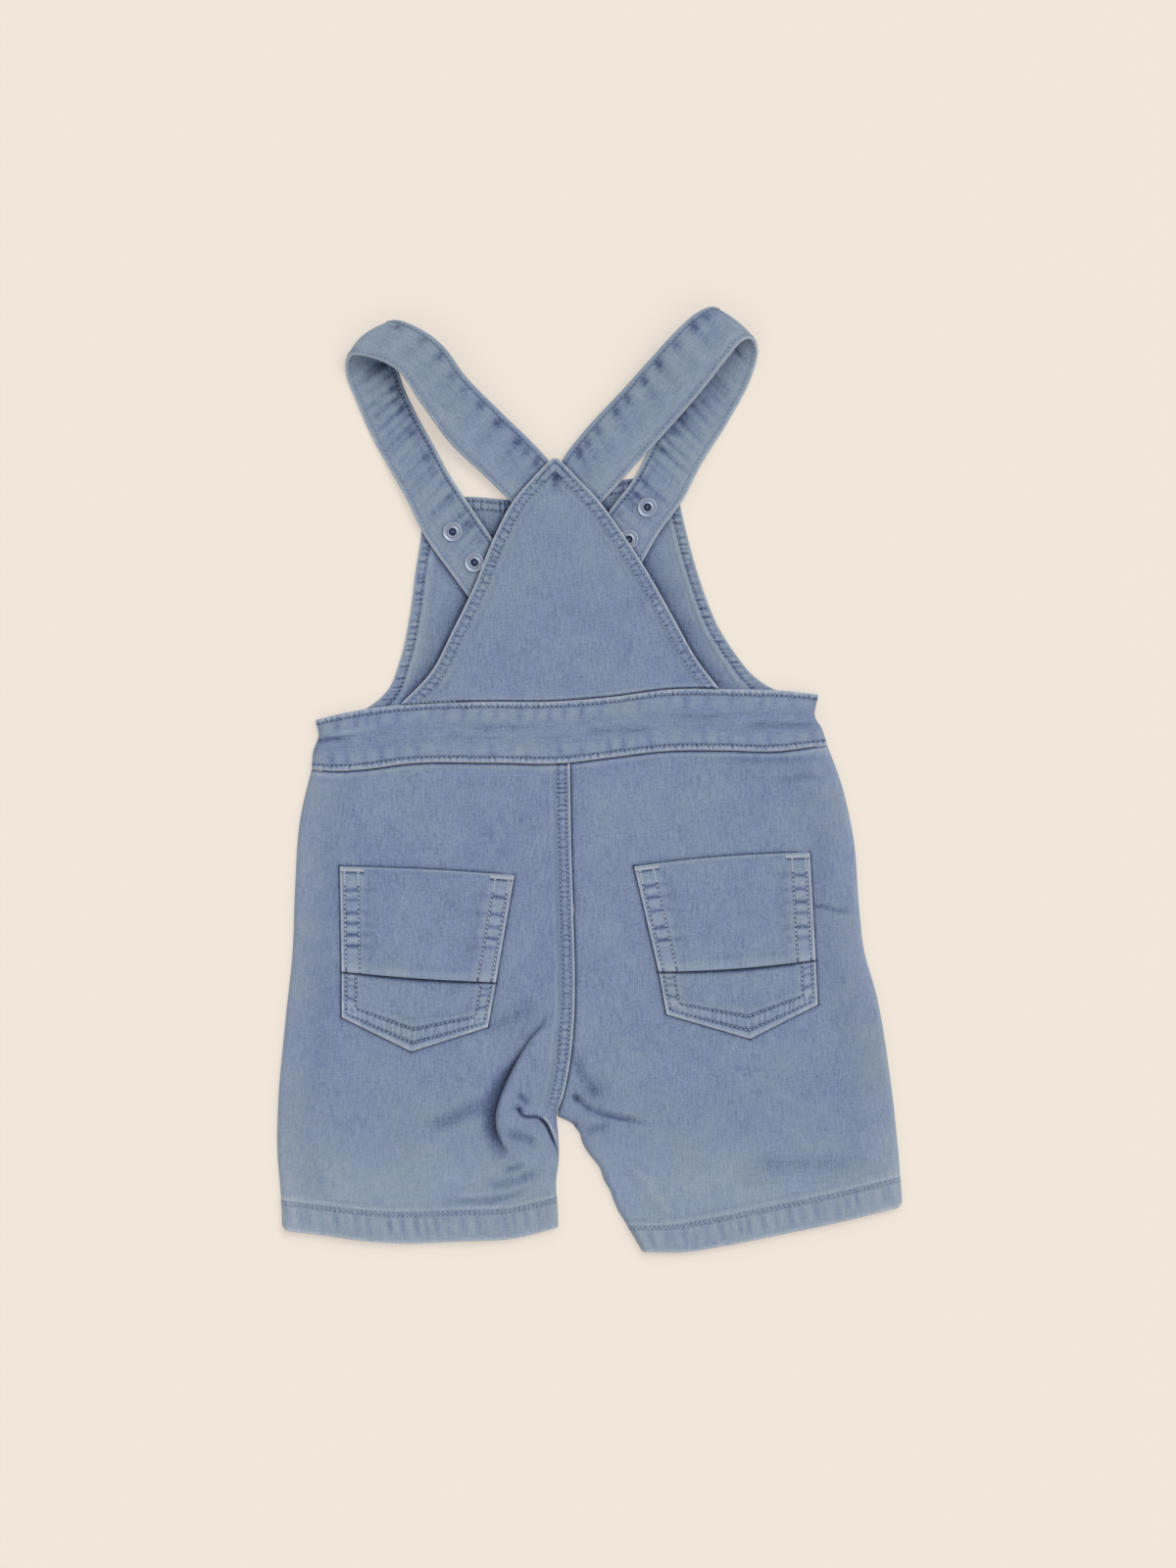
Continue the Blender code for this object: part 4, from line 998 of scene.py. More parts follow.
def back_leg(side):
    """Long waves and creases first, then hem, seat seam and folds, and the edges rolled down last."""
    panel, top = leg_grid(side)
    seam, side_seam = in_order(side, panel.right, panel.left)
    face, wear = leg_face(panel.x, panel.y)
    panel.z += face
    panel.wear += wear
    turned_up_hem(panel, side)
    panel.wear += 0.45 * within(panel.top, 0.9, 2.8, 1.0) + 0.3 * ease((-150 - panel.y) / 60)
    # painted shade beside the waistband's lower edge and round the pockets
    panel.painted_shade_beside(top, *pocket_outline(side), amount=1.2)
    panel.blot(PITS)
    panel.wear += 0.4 * np.exp(-(side_seam / 14) ** 2)
    rolling = ease((ROLL_FROM - panel.y) / (ROLL_FROM - ROLL_FULL))
    if side == "left":
        lapped_seat(panel, seam, 1 - rolling)
        lean_over(panel)
    else:
        under_the_lap(panel, seam, 1 - rolling)
    panel.make_faces(WALL, dict(zip(("left", "right"), in_order(side, 1.0, rolling))), rims=("top", "low"))
    sew_rows(f"leg_{side}", panel, "low", HEM_ROWS, ends=(3, 3))
    if side == "left":
        for row in LAP_ROWS:
            line, up = panel.seam("right", row)
            keep = line[:, 1] > LAP_END
            sew(f"leg_{side}", line[keep], up[keep])
    dress_panel(panel, f"back_leg_{side}", LEG_GRAIN[side], (162, 262), 0.93, [f"front_leg_{side}"])


for side in LEGS:
    back_leg(side)

# %% [markdown]
# ## Front panels
#
# The front lies face down on the table. Its inside shows in the armholes and beside the crossed straps, so
# the front bib gets hems, rows and puckers there, and shade is painted on it where straps and the back bib lie
# on it. The side that lies down is finished as well: it is flat, and its creases are shallow troughs that rise
# from the table. The straps' sections come first, because the shade painted on the bib follows their edges.

# %% Strap sections
Section = namedtuple("Section", "ax ay bx by z")       # both edges of the strap, and the height of its middle
STRAPS = {
    "left": [
        Section(-55.5, 83.8, -31.5, 97.8, 2.6), Section(-71, 104.8, -47.5, 119.3, 2.6),
        Section(-85, 124.8, -59.5, 136.8, 3.1), Section(-93, 141.3, -70, 152.5, 3.2),
        Section(-102, 157.3, -79.5, 169.8, 2.1), Section(-112, 175.8, -88.5, 186, 1.02),
        Section(-119, 191.8, -95, 200, 1.02), Section(-123.3, 202.3, -98.8, 212.5, 1.1),
        Section(-124.5, 208.3, -101.5, 225, 2.8), Section(-123.8, 212.6, -100.5, 232.5, 6.8),
        Section(-121.5, 215, -96, 232.6, 10.6), Section(-116.5, 215, -88.5, 229.6, 12.9),
        Section(-108.5, 213, -81, 225.3, 13.3), Section(-100, 209, -75, 220.3, 12.8),
        Section(-86.5, 191.3, -63.5, 205, 10.6), Section(-71, 170.3, -45, 186.3, 7.4),
        Section(-53, 153.3, -28.5, 170.3, 5.0), Section(-39.5, 140.3, -21, 162, 4.0),
        Section(-34.5, 136, -19.5, 159.5, 3.9),
    ],
    "right": [
        Section(19.5, 95.3, -4.5, 109.8, 2.6), Section(27, 110.8, 2, 123.8, 2.6),
        Section(35, 124.8, 10, 136.8, 2.8), Section(47, 141.3, 21.5, 151.8, 3.2),
        Section(55.5, 157.8, 30.5, 168.8, 2.6), Section(71.5, 183.8, 46.5, 197.8, 1.02),
        Section(81, 201.3, 55, 213, 1.05), Section(84.7, 212.3, 60.5, 226.5, 1.6),
        Section(85.5, 218.3, 63.3, 235.3, 4.0), Section(84, 222.3, 62.8, 239.6, 7.6),
        Section(81, 223.7, 59, 239.2, 11.0), Section(76.5, 221.5, 53, 235.8, 13.0),
        Section(70, 213.8, 45.5, 229.2, 13.2), Section(56.5, 196.8, 31.5, 214.3, 10.9),
        Section(39, 176.8, 16.5, 197.8, 7.6), Section(21.5, 157.8, -1, 179.3, 5.1),
        Section(5.5, 140.3, -13, 164, 4.0), Section(1, 136, -15, 160.5, 3.9),
    ],
}
ON_THE_BIB = 5           # the first sections lie on the front bib
BACK_RUN = 9             # from this section on, the strap comes down to the back bib
RING_PLACES = {"left": [(-70, 125.8), (-59, 109.8)], "right": [(29.3, 138.3), (19.5, 121.8)]}
print("sections:", {side: len(sections) for side, sections in STRAPS.items()})

# %% Front legs
FRONT_ROW = 2.4          # the row beside the front's centre seam


INSIDE = (DENIM_INSIDE, "denim_inside")


def face_down(panel, wear=0.2):
    """The side that lies on the table, as a panel of its own: flat, with its creases, how worn it is, and the
    shade painted in its crease troughs.
    """
    down = copy(panel)
    down.z, down.wear = creased(FRONT_CREASES, panel.x, panel.y)
    down.wear += wear
    return down


def front_leg(side):
    """Front leg: the back leg's outline, brought in so that it stays inside the rounded side edges."""
    leg = LEGS[side]
    waist = np.array(FRONT_WAIST) - (0, GAP)
    centre = smooth(FRONT_CENTRE) - (0.5 * leg.inwards * GAP, 0)
    inseam = moved_in(smooth(leg.inseam), -leg.inwards * FRONT_INSET)
    inside = hung(joined(centre, inseam[inseam[:, 1] < centre[-1, 1] - CROTCH_STEP]), waist)
    band_end = np.array(leg.band_end)[[0, -1]] + (leg.inwards * (FRONT_INSET + NOTCH), 0)
    seam = moved_in(smooth(leg.side), leg.inwards * FRONT_INSET)
    outside = hung(joined(band_end, seam[BAND_BLEND:]), waist)
    left, right = in_order(side, outside, inside)
    top, hem = np.linspace(left[0], right[0], 20), between(smooth(leg.hem), left[-1], right[-1])
    side_steps = steps(FRONT_ROW)
    panel = Panel(left, right, top, hem, side_steps, side_steps, steps(), steps(*HEM_ROWS), pitch=1.6)
    panel.z += WALL
    panel.band(panel.low, HEM_HEIGHT, FRONT_RISE)
    panel.groove(panel.low, *HEM_ROWS)
    centre_edge = in_order(side, panel.right, panel.left)[0]
    panel.groove(centre_edge, FRONT_ROW)
    down = face_down(panel)
    down.groove(down.low, *HEM_ROWS, amount=0.6, width=0.7)
    down.groove(centre_edge, FRONT_ROW, amount=0.7, width=0.7)
    down.pucker(down.x, uneven(-160, 162, 5.5, 61), 0.1, within(down.low, 4, 12.8, 6), width=2.0, dye=0.9)
    down.rubbed(down.low, size=0.8, width=1.6)
    panel.make_faces(WALL, lying=-down.z)
    dress_panel(panel, f"front_leg_{side}", 0, (160, 285), 0.93, [], finish=INSIDE, under=down.wear)


for side in LEGS:
    front_leg(side)

# %% Front bib
ARMHOLE_ROW = 4.6
TOP_ROWS = (2.2, 6.4)
CAP_SEAT = 0.7           # how deep a stud's cap sits in the front bib
SEAT_RADIUS = 7.6


def front_bib():
    """The armholes' and the top edge's hems, with painted shade beside the back bib and the straps."""
    left, right = smooth(FRONT_BIB_LEFT), smooth(FRONT_BIB_RIGHT)
    low = stretch(np.array(FRONT_WAIST), left[-1, 0], right[-1, 0])
    left[-1], right[-1] = low[0], low[-1]
    armhole_steps = steps(ARMHOLE_ROW, reach=9)
    bib = Panel(left, right, smooth(FRONT_BIB_TOP), low, armhole_steps, armhole_steps, steps(*TOP_ROWS),
                steps(), pitch=1.2)
    bib.z += WALL
    bib.band(bib.top, 7.2, FRONT_RISE)
    bib.groove(bib.top, *TOP_ROWS, amount=1.3)
    bib.wear += 0.25
    bib.pucker(bib.x, uneven(-90, 50, 3.0, 51), 0.15, within(bib.top, 1.0, 6.6, 0.8), width=0.6, dye=1.8)
    for distance, seed in ((bib.left, 52), (bib.right, 53)):
        bib.band(distance, 7.4, FRONT_RISE)
        bib.groove(distance, ARMHOLE_ROW)
        bib.rubbed(distance, size=0.6)
        bib.pucker(bib.top, uneven(4, 150, 2.9, seed), 0.25, within(distance, 1.2, 5.4, 0.8), width=0.8,
                   dye=2.4)
        bib.wear += 0.35 * within(distance, 5.4, 7.6, 1.2)
    # painted shade beside the back bib's edges: a thin dark line and a wide soft band
    for amount, width in ((0.8, 1.6), (0.45, 5.5)):
        bib.painted_shade_beside(smooth(BIB_LEFT), smooth(BIB_RIGHT), amount=amount, width=width)
    # painted shade beside the straps' edges where they lie on the bib
    for sections in STRAPS.values():
        for k in (0, 2):
            edge = np.array(sections)[:ON_THE_BIB, k:k + 2]
            bib.painted_shade_beside(smooth(edge, 60), amount=0.6, width=2.0)
    down = face_down(bib)
    down.groove(bib.top, *TOP_ROWS, amount=0.6, width=0.7)
    for (x, y), _ in RING_PLACES.values():
        down.z -= CAP_SEAT * ease((SEAT_RADIUS - np.hypot(bib.x - x, bib.y - y)) / 2.0)
    for distance, seed in ((bib.left, 52), (bib.right, 53)):
        down.groove(distance, ARMHOLE_ROW, amount=0.6, width=0.7)
        down.rubbed(distance, size=0.8, width=1.2)
        down.pucker(bib.top, uneven(4, 150, 4.5, seed), 0.15, within(distance, 1.2, 5.4, 0.8), width=1.2,
                    dye=1.6)
    bib.make_faces(WALL, lying=-down.z)
    for side in LEGS:
        sew_rows("front_bib", bib, side, [ARMHOLE_ROW], ends=(2, 2), wear=0.2)
    sew_rows("front_bib", bib, "top", TOP_ROWS, ends=(4, 4), wear=0.2)
    dress_panel(bib, "front_bib", 0, (242, 132), 0.68, [], finish=INSIDE, under=down.wear)


front_bib()

# %% [markdown]
# ## Pockets
#
# A patch pocket in two parts: the upper one is folded under at its lower edge and sewn over the lower one.
# Two stitch rows hold the sides, seven millimetres apart, and the cloth between them has drawn up into the
# bars of light and dark that make a sewn pocket look real. Here each bar is listed. A bar tack, which
# is thread laid side by side, holds each top corner.

# %% Pockets
SIDE_ROWS = (2.3, 9.3)
LOW_SIDE_ROWS = (2.2, 7.4)
POINT_ROWS = (2.7, 7.1)      # from the pointed edge, measured down the side
BARS = {
    ("left", "left"): [(12.2, 0.8), (17.1, 0.5), (23.8, 0.9), (29.0, 0.8), (34.7, 1.0), (40.5, 1.0)],
    ("left", "right"): [(12.0, 0.9), (20.9, 0.8), (27.5, 0.6), (33.3, 0.8), (38.0, 0.5)],
    ("right", "left"): [(11.2, 0.8), (17.0, 0.9), (24.0, 0.7), (32.7, 0.8), (39.0, 0.9)],
    ("right", "right"): [(11.5, 0.7), (18.5, 0.8), (25.0, 0.9), (30.5, 0.6), (37.5, 0.9), (43.0, 0.5)],
}
LOW_BARS = [(3.0, 0.6), (6.0, 0.5), (12.0, 0.7), (17.5, 0.4)]
POCKET_GRAIN = 2             # how far its weave is turned, in degrees
TACK_LENGTH = 12.5
TACK_PITCH = 0.42            # from one thread of a bar tack to the next
TACKED = 11                  # how far down each row is sewn twice, closer and thicker


def tack(group, places, edge):
    """A bar tack along a pocket's top corner: thread laid side by side, across the bar."""
    line = places if edge == "left" else places[::-1]
    middle = at(line, np.arange(0.7, TACK_LENGTH, TACK_PITCH) / length(line)) + (0, -0.9, 0.2)
    heading, up = np.tile([0.0, 1.0, 0.0], (len(middle), 1)), np.tile([0.0, 0.0, 1.0], (len(middle), 1))
    ROWS.setdefault(group, []).append((middle, heading, up, STITCH, 1.5, THREAD))


def pocket_upper(side, seam):
    """The upper part lies on the leg, and is highest at its folded lower edge, over the lower part."""
    side_steps = steps(*SIDE_ROWS, reach=12)
    upper = Panel(pocket_line(side, "top_left", "seam_left"), pocket_line(side, "top_right", "seam_right"),
                  pocket_line(side, "top_left", "top_right", POCKETS[side].bow), seam,
                  side_steps, side_steps, steps(), steps(reach=6), pitch=1.0)
    upper.z += leg_face(upper.x, upper.y)[0] + GAP + WALL
    upper.z += HEM_RISE * (1 - ease((upper.low - 2.0) / 5.0))
    upper.wear += 0.3 * within(upper.low, -1, 4.5, 4.0)
    upper.rubbed(upper.top, size=0.6, width=1.2)
    for edge, distance in (("left", upper.left), ("right", upper.right)):
        upper.groove(distance, *SIDE_ROWS, amount=0.1 + 1.4 * ease((upper.top - 8.5) / 2.0), width=0.45)
        upper.rubbed(distance, size=1.0, width=1.1)
        upper.wear += 0.35 * within(distance, -1, 12, 5)
        upper.wear -= 1.6 * within(distance, 0.8, 12, 1.0) * np.exp(-((upper.top - 3.0) / 0.5) ** 2)
        bars = np.array(BARS[side, edge])
        upper.pucker(upper.top + 0.06 * distance, bars, 0.45, within(distance, 2.6, 9.0, 1.6), width=1.2,
                     dye=2.0)
        upper.pucker(upper.top + 0.5, bars, 0.12, within(distance, 10, 15, 8), width=1.4, dye=0.7)
    upper.make_faces(WALL)
    for edge in LEGS:
        for row in SIDE_ROWS:
            places, up = upper.seam(edge, row)
            sew(f"pocket_{side}", places, up, ends=(10.5, 0.5), wear=1.6, thick=0.38)
            top = np.linalg.norm(places - places[0], axis=1) < TACKED
            sew(f"pocket_{side}", places[top], up[top], ends=(2.5, 0), pitch=1.5, wear=2.6, thick=0.55)
        tack(f"pocket_{side}", upper.seam("top", 0.8)[0], edge)
    dress_panel(upper, f"pocket_{side}_upper", POCKET_GRAIN, (92, 60), 0.95, [f"back_leg_{side}"])


def pocket_lower(side, seam):
    """The pointed lower part. Where the rows of its sides and its point meet, each stops at the other."""
    shape, drop = POCKETS[side], np.array([0, -GAP])
    point = [pocket_line(side, "low_left", "point"), pocket_line(side, "point", "low_right")[1:]]
    edges = (pocket_line(side, "seam_left", "low_left"), pocket_line(side, "seam_right", "low_right"), seam,
             np.concatenate(point))
    lower = Panel(*(edge + drop for edge in edges), steps(*LOW_SIDE_ROWS), steps(*LOW_SIDE_ROWS), steps(),
                  steps(*POINT_ROWS), pitch=1.0)
    lower.z += leg_face(lower.x, lower.y)[0] + GAP + WALL
    # painted shadow under the upper part's folded edge
    lower.wear -= 1.8 * np.exp(-(lower.top / 0.8) ** 2)
    inner_side = np.minimum(lower.left, lower.right)
    for row, end in zip(POINT_ROWS, LOW_SIDE_ROWS):
        lower.groove(lower.low, row, amount=1.5 * ease((inner_side - end) / 0.8 + 0.5))
    lower.rubbed(lower.low, size=0.8, width=1.0)
    lower.wear += 0.35 * within(lower.low, -1, 9, 3)
    lower.pucker(lower.x, uneven(shape.low_left[0], shape.low_right[0], 2.4, 61), 0.12,
                 within(lower.low, 2.9, 7.0, 0.9), width=0.55, dye=1.4)
    for distance in (lower.left, lower.right):
        for row, end in zip(LOW_SIDE_ROWS, POINT_ROWS):
            lower.groove(distance, row, amount=1.7 * ease((lower.low - end) / 0.8 + 0.5), width=0.45)
        lower.rubbed(distance, size=0.9, width=1.0)
        lower.wear += 0.3 * within(distance, -1, 10, 4)
        lower.pucker(lower.top, np.array(LOW_BARS), 0.3, within(distance, 2.4, 7.2, 1.4), width=0.9,
                     dye=2.0)
    lower.make_faces(WALL)
    for edge in LEGS:
        for row, end in zip(LOW_SIDE_ROWS, POINT_ROWS):
            sew_rows(f"pocket_{side}", lower, edge, [row], ends=(0.5, end), wear=1.4)
    for row, end in zip(POINT_ROWS, LOW_SIDE_ROWS):
        sew_rows(f"pocket_{side}", lower, "low", [row], ends=(end, end), wear=0.7)
    dress_panel(lower, f"pocket_{side}_lower", POCKET_GRAIN, (82, 42), 0.75, [f"back_leg_{side}"])


for side, shape in POCKETS.items():
    seam = pocket_line(side, "seam_left", "seam_right", -shape.bow)
    pocket_upper(side, seam)
    pocket_lower(side, seam)

# %% [markdown]
# ## Straps
#
# A strap is a long doubled strip. It starts in front, at its free end with the press-stud rings, runs up to
# the shoulder, folds over, and comes back down to the bib. Both edges are smooth curves through the same
# sections as in the frame, and the strap is the ruled surface between them, bowed where it stands upright at
# the fold. It shows both of its faces, so both get relief and stitches.

# %% The middle of a strap
FOLD_BOW = {"left": 3.8, "right": 1.8}     # how far the upright cloth of the shoulder fold bulges


def upward(surface):
    """Unit normals of a strap's middle that point up where it starts."""
    normal = normals(surface)
    return normal if normal[0, 0, 2] > 0 else -normal


def strap_middle(side, rows, across):
    """The strap's middle: each row is ruled between its two edges, and bowed outwards where it is upright."""
    edges = smooth(np.array(STRAPS[side], float), rows)
    start, end = edges[:, [0, 1, 4]], edges[:, [2, 3, 4]]
    width = np.linalg.norm(end - start, axis=1)
    t = across(width)
    middle = start[:, None] * (1 - t)[..., None] + end[:, None] * t[..., None]
    normal = upward(middle)
    upright = 1 - normal[..., 2:] ** 2
    middle = middle - (FOLD_BOW[side] * 4 * t * (1 - t))[..., None] * upright * normal
    return middle, upward(middle), t * width[:, None], (1 - t) * width[:, None]


# %% Straps
STRAP_ROW = 2.5                            # the stitch row, from either edge
# painted shade on the run in front, beside the run that lies over it
FOLD_PAINTED_SHADE = {"left": 0.9, "right": 0.5}   # how dark the run in front stays beside the run over it


def bells(along, places, width):
    """A bell curve along the strap at each place, as high as the place's strength, and their sum."""
    off = (along[..., None] - places[:, 0]) / width
    return (places[:, 1] * np.exp(-off**2)).sum(axis=-1)


def worn_and_shaded_strap(side, middle, along, from_a, from_b):
    """Relief, worn places and painted shade: a trough and a rubbed edge at both rows, pulls across the strap,
    and shade painted under the run over it and beside the back bib.
    """
    relief, wear = np.zeros(along.shape), np.zeros(along.shape) + 0.4
    blots = uneven(5, along.max() - 4, 9.8, 71 + len(side))
    bands = uneven(5, 0.53 * along.max(), 4.8, 81 + len(side))
    front = ease((0.54 * along.max() - along) / 12)
    for distance, line, rim in ((from_a, 0.5, 0.9), (from_b, 0.8 + 0.8 * front, 0.2 + 0.6 * front)):
        dip = line * np.exp(-((distance - STRAP_ROW) / 0.5) ** 2)
        relief -= 0.2 * dip
        wear += rim * np.exp(-(distance / 1.1) ** 2) - 1.1 * dip
    pulled = bells(along - 0.3 * from_b, blots, 2.5) * (
        within(from_b, 2.8, 7.4, 3.0) + 0.35 * within(from_b, 6, 17, 12)) * (1 - 0.65 * front)
    banded = bells(along + 0.35 * from_b, bands, 1.6) * (
        0.75 * within(from_b, 3, 22, 10) + 0.6 * within(from_b, 2.8, 9, 5))
    relief -= 0.3 * pulled + 0.2 * banded
    wear -= 1.3 * pulled + 0.9 * banded
    x, y = middle[..., 0], middle[..., 1]
    # painted shade on the run in front, under the run that lies over it
    run_over_it = smooth(np.array(STRAPS[side], float)[BACK_RUN:, :2], 60)
    shade = beside(run_over_it, x, y)[0] * LEGS[side].inwards
    shaded = front * (along > 0.3 * along.max()) * (shade < 0)
    wear -= FOLD_PAINTED_SHADE[side] * np.exp(-(shade / 7.0) ** 2) * shaded
    # painted shade on the strap beside the back bib's edges
    for path in (smooth(BIB_LEFT), smooth(BIB_RIGHT)):
        wear -= 1.1 * np.exp(-(beside(path[::4], x, y)[0] / 0.9) ** 2)
    return relief, wear


def strap(side):
    """Both faces lie half a wall from the middle along its normal, and close in at the edges as an arc."""
    edge = steps(STRAP_ROW)

    def across(width):
        """Shares of each row's width: the steps from both edges, and even ones between them."""
        first = edge + 0 * width[:, None]
        inner = round(width.mean() - 2 * edge[-1]) // 2 * 2 + 1
        return crosswise(first, first, width, inner) / width[:, None]

    middle, normal, from_a, from_b = strap_middle(side, 281, across)
    run = np.linalg.norm(np.diff(middle.mean(axis=1), axis=0), axis=1)
    along = np.concatenate([[0.0], np.cumsum(run)])[:, None] + 0 * from_a
    relief, wear = worn_and_shaded_strap(side, middle, along, from_a, from_b)
    to_edge = np.minimum.reduce([from_a, from_b, along, along[-1] - along])
    half = 0.5 * STRAP_WALL
    inside = np.clip(half - to_edge, 0, half)
    thick = np.sqrt(half**2 - inside**2) / half * 0.94 + 0.06
    raised = relief * (thick > 0.5)
    up = middle + (half * thick + raised)[..., None] * normal
    down = middle - (half * thick + 0.6 * raised)[..., None] * normal
    cloth = np.dstack([from_a, along, wear])
    column = int(np.abs(edge - STRAP_ROW).argmin())
    for face, sign in ((up, 1), (down, -1)):
        face_normal = sign * upward(face)
        for k, paleness in ((column, 0.8), (face.shape[1] - 1 - column, 0.1)):
            sew(f"strap_{side}", face[:, k], face_normal[:, k], ends=(3, 1), wear=paleness)
    turned_out = np.s_[::-1, ::-1] if side == "right" else np.s_[::-1]
    dress(f"strap_{side}", up[turned_out], down[turned_out], cloth[turned_out], (29, 275), 1, ["front_bib"],
          held="folded")


for side in STRAPS:
    strap(side)

# %% [markdown]
# ## Press studs
#
# Each strap has two stamped rings, and a stud in the front bib clicks into the upper one. A ring is a turned
# piece: one half section, with its rounded rim, groove and collar, carried round its axis. Its metal is satin
# from years of washing. The hole is closed by a dark floor painted as shade, with a painted glint on its
# spring, and the rim and collar are painted paler as highlights.

# %% Metal
def satin_metal():
    """Dull, smeared metal: a ramp runs from the shade painted in the hole to the highlights painted on the
    raised rim.
    """
    shader = Shader("satin_metal", Metallic=1.0)
    wear = shader.node("ShaderNodeSeparateXYZ", inputs={
        0: shader.node("ShaderNodeAttribute", {"attribute_name": "cloth"}, output="Vector")}, output=2)
    place = shader.node("ShaderNodeTexCoord", output="Object")
    smear = shader.noise(place, (900, 900, 900), 3, 0.6)
    stops = [(0.0, screen(48, 56, 82)), (0.45, screen(146, 156, 176)), (1.0, screen(180, 188, 206))]
    tone = wear + (smear - 0.5) * 0.25
    shader.feed("Base Color", shader.node("ShaderNodeValToRGB", {"stops": stops}, {0: tone}))
    shader.feed("Roughness", 0.45 + (smear - 0.5) * 0.25)
    shader.feed("Normal", shader.node("ShaderNodeBump", inputs={
        "Height": smear, "Strength": 0.15, "Distance": 0.0002}))
    return shader.material


METAL = satin_metal()
Turn = namedtuple("Turn", "radius height wear")
# the third column paints shade in the hole, a glint at the middle, and highlights on the collar and rim
RING = [Turn(0, 0.22, 0.5), Turn(0.25, 0.2, 0.4), Turn(0.45, 0.08, 0.0), Turn(1.75, 0.06, 0.0),
        Turn(1.95, 0.12, 0.05), Turn(2.02, 0.55, 0.4), Turn(2.15, 0.68, 0.8), Turn(2.4, 0.70, 0.8),
        Turn(2.6, 0.60, 0.6), Turn(2.85, 0.46, 0.42), Turn(3.3, 0.42, 0.42), Turn(3.9, 0.46, 0.48),
        Turn(4.2, 0.58, 0.6), Turn(4.5, 0.76, 0.85), Turn(4.75, 0.72, 0.9), Turn(5.0, 0.50, 0.8),
        Turn(5.05, 0.20, 0.5), Turn(4.95, 0.0, 0.4), Turn(2.0, 0.0, 0.3), Turn(0, 0.0, 0.3)]
STUD_POST = 1.5          # the post's radius
CAP = [Turn(0, 0.0, 0.8), Turn(4.0, 0.0, 0.9), Turn(4.8, 0.08, 1.0), Turn(5.0, 0.25, 0.9),
       Turn(4.85, 0.45, 0.6), Turn(4.2, 0.5, 0.5), Turn(STUD_POST, 0.5, 0.4), Turn(STUD_POST, 2.2, 0.4),
       Turn(0, 2.5, 0.4)]
SIDES = 56               # of each circle


def turned(name, section, centre, axis, node):
    """A closed turned piece: each row of the section is a circle round the axis, and radius 0 is a pole."""
    fine = [section[0]]
    for a, b in zip(section[:-1], section[1:]):
        fine += [Turn(*(np.array(a) * (1 - t) + np.array(b) * t)) for t in (0.5, 1.0)]
    radius, height, wear = np.array(fine[1:-1]).T
    axis = unit(np.asarray(axis, float))
    side = unit(np.cross(axis, (0.0, 1.0, 0.0)))
    other = np.cross(axis, side)
    turn = np.linspace(0, 2 * pi, SIDES, endpoint=False)[None, :, None]
    circles = (centre + height[:, None, None] * axis
               + radius[:, None, None] * (np.cos(turn) * side + np.sin(turn) * other))
    poles = np.array([centre + section[0].height * axis, centre + section[-1].height * axis])
    index = np.arange(len(radius) * SIDES).reshape(-1, SIDES)
    after = np.roll(index, -1, axis=1)
    faces = np.stack([index[:-1], index[1:], after[1:], after[:-1]], axis=-1).reshape(-1, 4).tolist()
    first, last = index.size, index.size + 1
    faces += [[first, a, b] for a, b in zip(index[0].tolist(), after[0].tolist())]
    faces += [[last, b, a] for a, b in zip(index[-1].tolist(), after[-1].tolist())]
    points = np.concatenate([circles.reshape(-1, 3), poles]) * MM
    amount = np.concatenate([np.repeat(wear, SIDES), [section[0].wear, section[-1].wear]])
    piece = mesh_piece(name, points, faces, np.column_stack([points[:, :2], amount]), METAL)
    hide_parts(node)
    print(f"{name}: {2 * radius.max():.1f} mm across")
    return piece


# %% Rings and studs
RING_LIFT = 0.05         # between a ring and its strap
FRONT_THIRD = 200        # of the 600 rows of a finely read strap


def press_studs(side):
    """A ring sits square on its strap at the grid point nearest its place, and a stud stands upright."""
    even = np.linspace(0, 1, 61)
    middle, normal, _, _ = strap_middle(side, 3 * FRONT_THIRD, lambda width: np.tile(even, (len(width), 1)))
    for number, place in enumerate(RING_PLACES[side], 1):
        away = np.linalg.norm(middle[:FRONT_THIRD, :, :2] - place, axis=-1)
        nearest = np.unravel_index(away.argmin(), away.shape)
        seat = middle[nearest] + (0.5 * STRAP_WALL + RING_LIFT) * normal[nearest]
        turned(f"ring_{side}_{number}", RING, seat, normal[nearest], f"snap_ring_{side}_{number}")
        if number == 1:
            stud = turned(f"stud_{side}", CAP, (seat[0], seat[1], 0.0), (0, 0, 1), f"snap_stud_{side}")
            stud.data.flip_normals()


for side in STRAPS:
    press_studs(side)
for group in ROWS:
    thread_mesh(group, DENIM)

# %% [markdown]
# ## Table, light and camera
#
# The garment was laid on cream paper and seen from straight above, in soft daylight that comes a little from
# the upper right. An area light would do for the window, but it grows weaker across the garment. A pale
# floor, a bright even world and a sun with a wide angle give the same light all over it, with faint shadows.

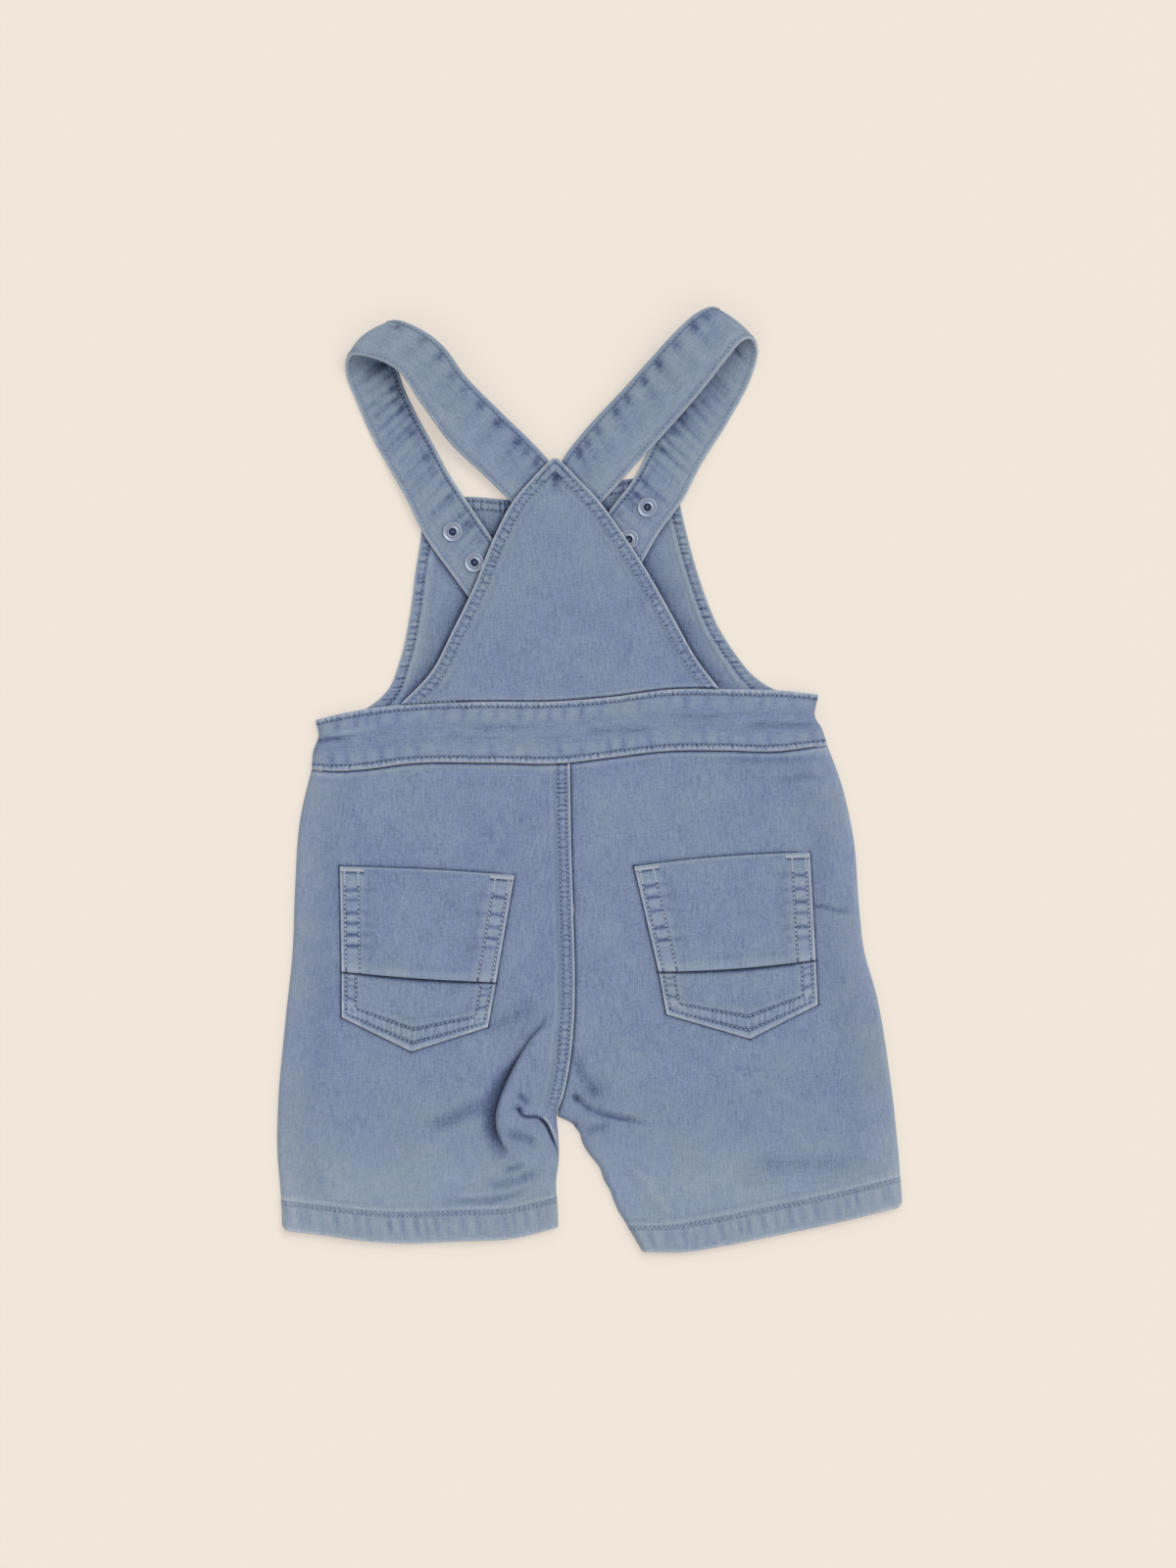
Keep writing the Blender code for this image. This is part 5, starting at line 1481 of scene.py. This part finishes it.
# %% Stage
FLOOR = screen(240, 230, 218)
FLOOR_REACH = 4.0            # metres from the middle to each side
ROOM_LIGHT = 0.7             # share of the light that comes from all round, and the window gives the rest
WINDOW_FROM = Vector((0.55, 0.5, 1.0))
WINDOW_ANGLE = radians(35)
CENTRE = (-1.0, -2.75)       # what the middle of the picture looks at
DISTANCE = 3000.0
FRAME_HEIGHT = 800.0         # what the picture's long side covers
SENSOR = 36.0


def stage():
    """The paper, which also shines a little by itself so that it stays pale, the room and the window."""
    mesh = bpy.data.meshes.new("table_top")
    corners = ((-1, -1), (1, -1), (1, 1), (-1, 1))
    mesh.from_pydata([(FLOOR_REACH * x, FLOOR_REACH * y, 0) for x, y in corners], [], [(0, 1, 2, 3)])
    paper = (*(0.5 * np.array(FLOOR)).tolist(), 1)
    mesh.materials.append(Shader("cream_paper", Roughness=0.95, Base_Color=paper, Emission_Color=paper,
                                 Emission_Strength=1.0, Specular_IOR_Level=0.25).material)
    floor = bpy.data.objects.new("table_top", mesh)
    bpy.context.scene.collection.objects.link(floor)

    world = bpy.data.worlds.new("soft_room")
    world.use_nodes = True
    world.node_tree.nodes["Background"].inputs["Color"].default_value = (1.0, 1.0, 1.0, 1)
    world.node_tree.nodes["Background"].inputs["Strength"].default_value = ROOM_LIGHT
    bpy.context.scene.world = world

    window = bpy.data.lights.new("window", "SUN")
    window.angle = WINDOW_ANGLE
    window.energy = (1 - ROOM_LIGHT) * pi / WINDOW_FROM.normalized().z
    light = bpy.data.objects.new("window", window)
    light.rotation_euler = WINDOW_FROM.to_track_quat("Z", "Y").to_euler()
    bpy.context.scene.collection.objects.link(light)


def camera():
    """From far above: the lens is the sensor times the distance over the height that the frame covers."""
    data = bpy.data.cameras.new("above")
    data.lens = SENSOR * DISTANCE / FRAME_HEIGHT
    data.sensor_width = SENSOR
    data.clip_end = 20
    eye = bpy.data.objects.new("above", data)
    eye.location = (CENTRE[0] * MM, CENTRE[1] * MM, DISTANCE * MM)
    bpy.context.scene.collection.objects.link(eye)
    bpy.context.scene.camera = eye


stage()
camera()
bpy.context.scene.view_settings.view_transform = "Standard"
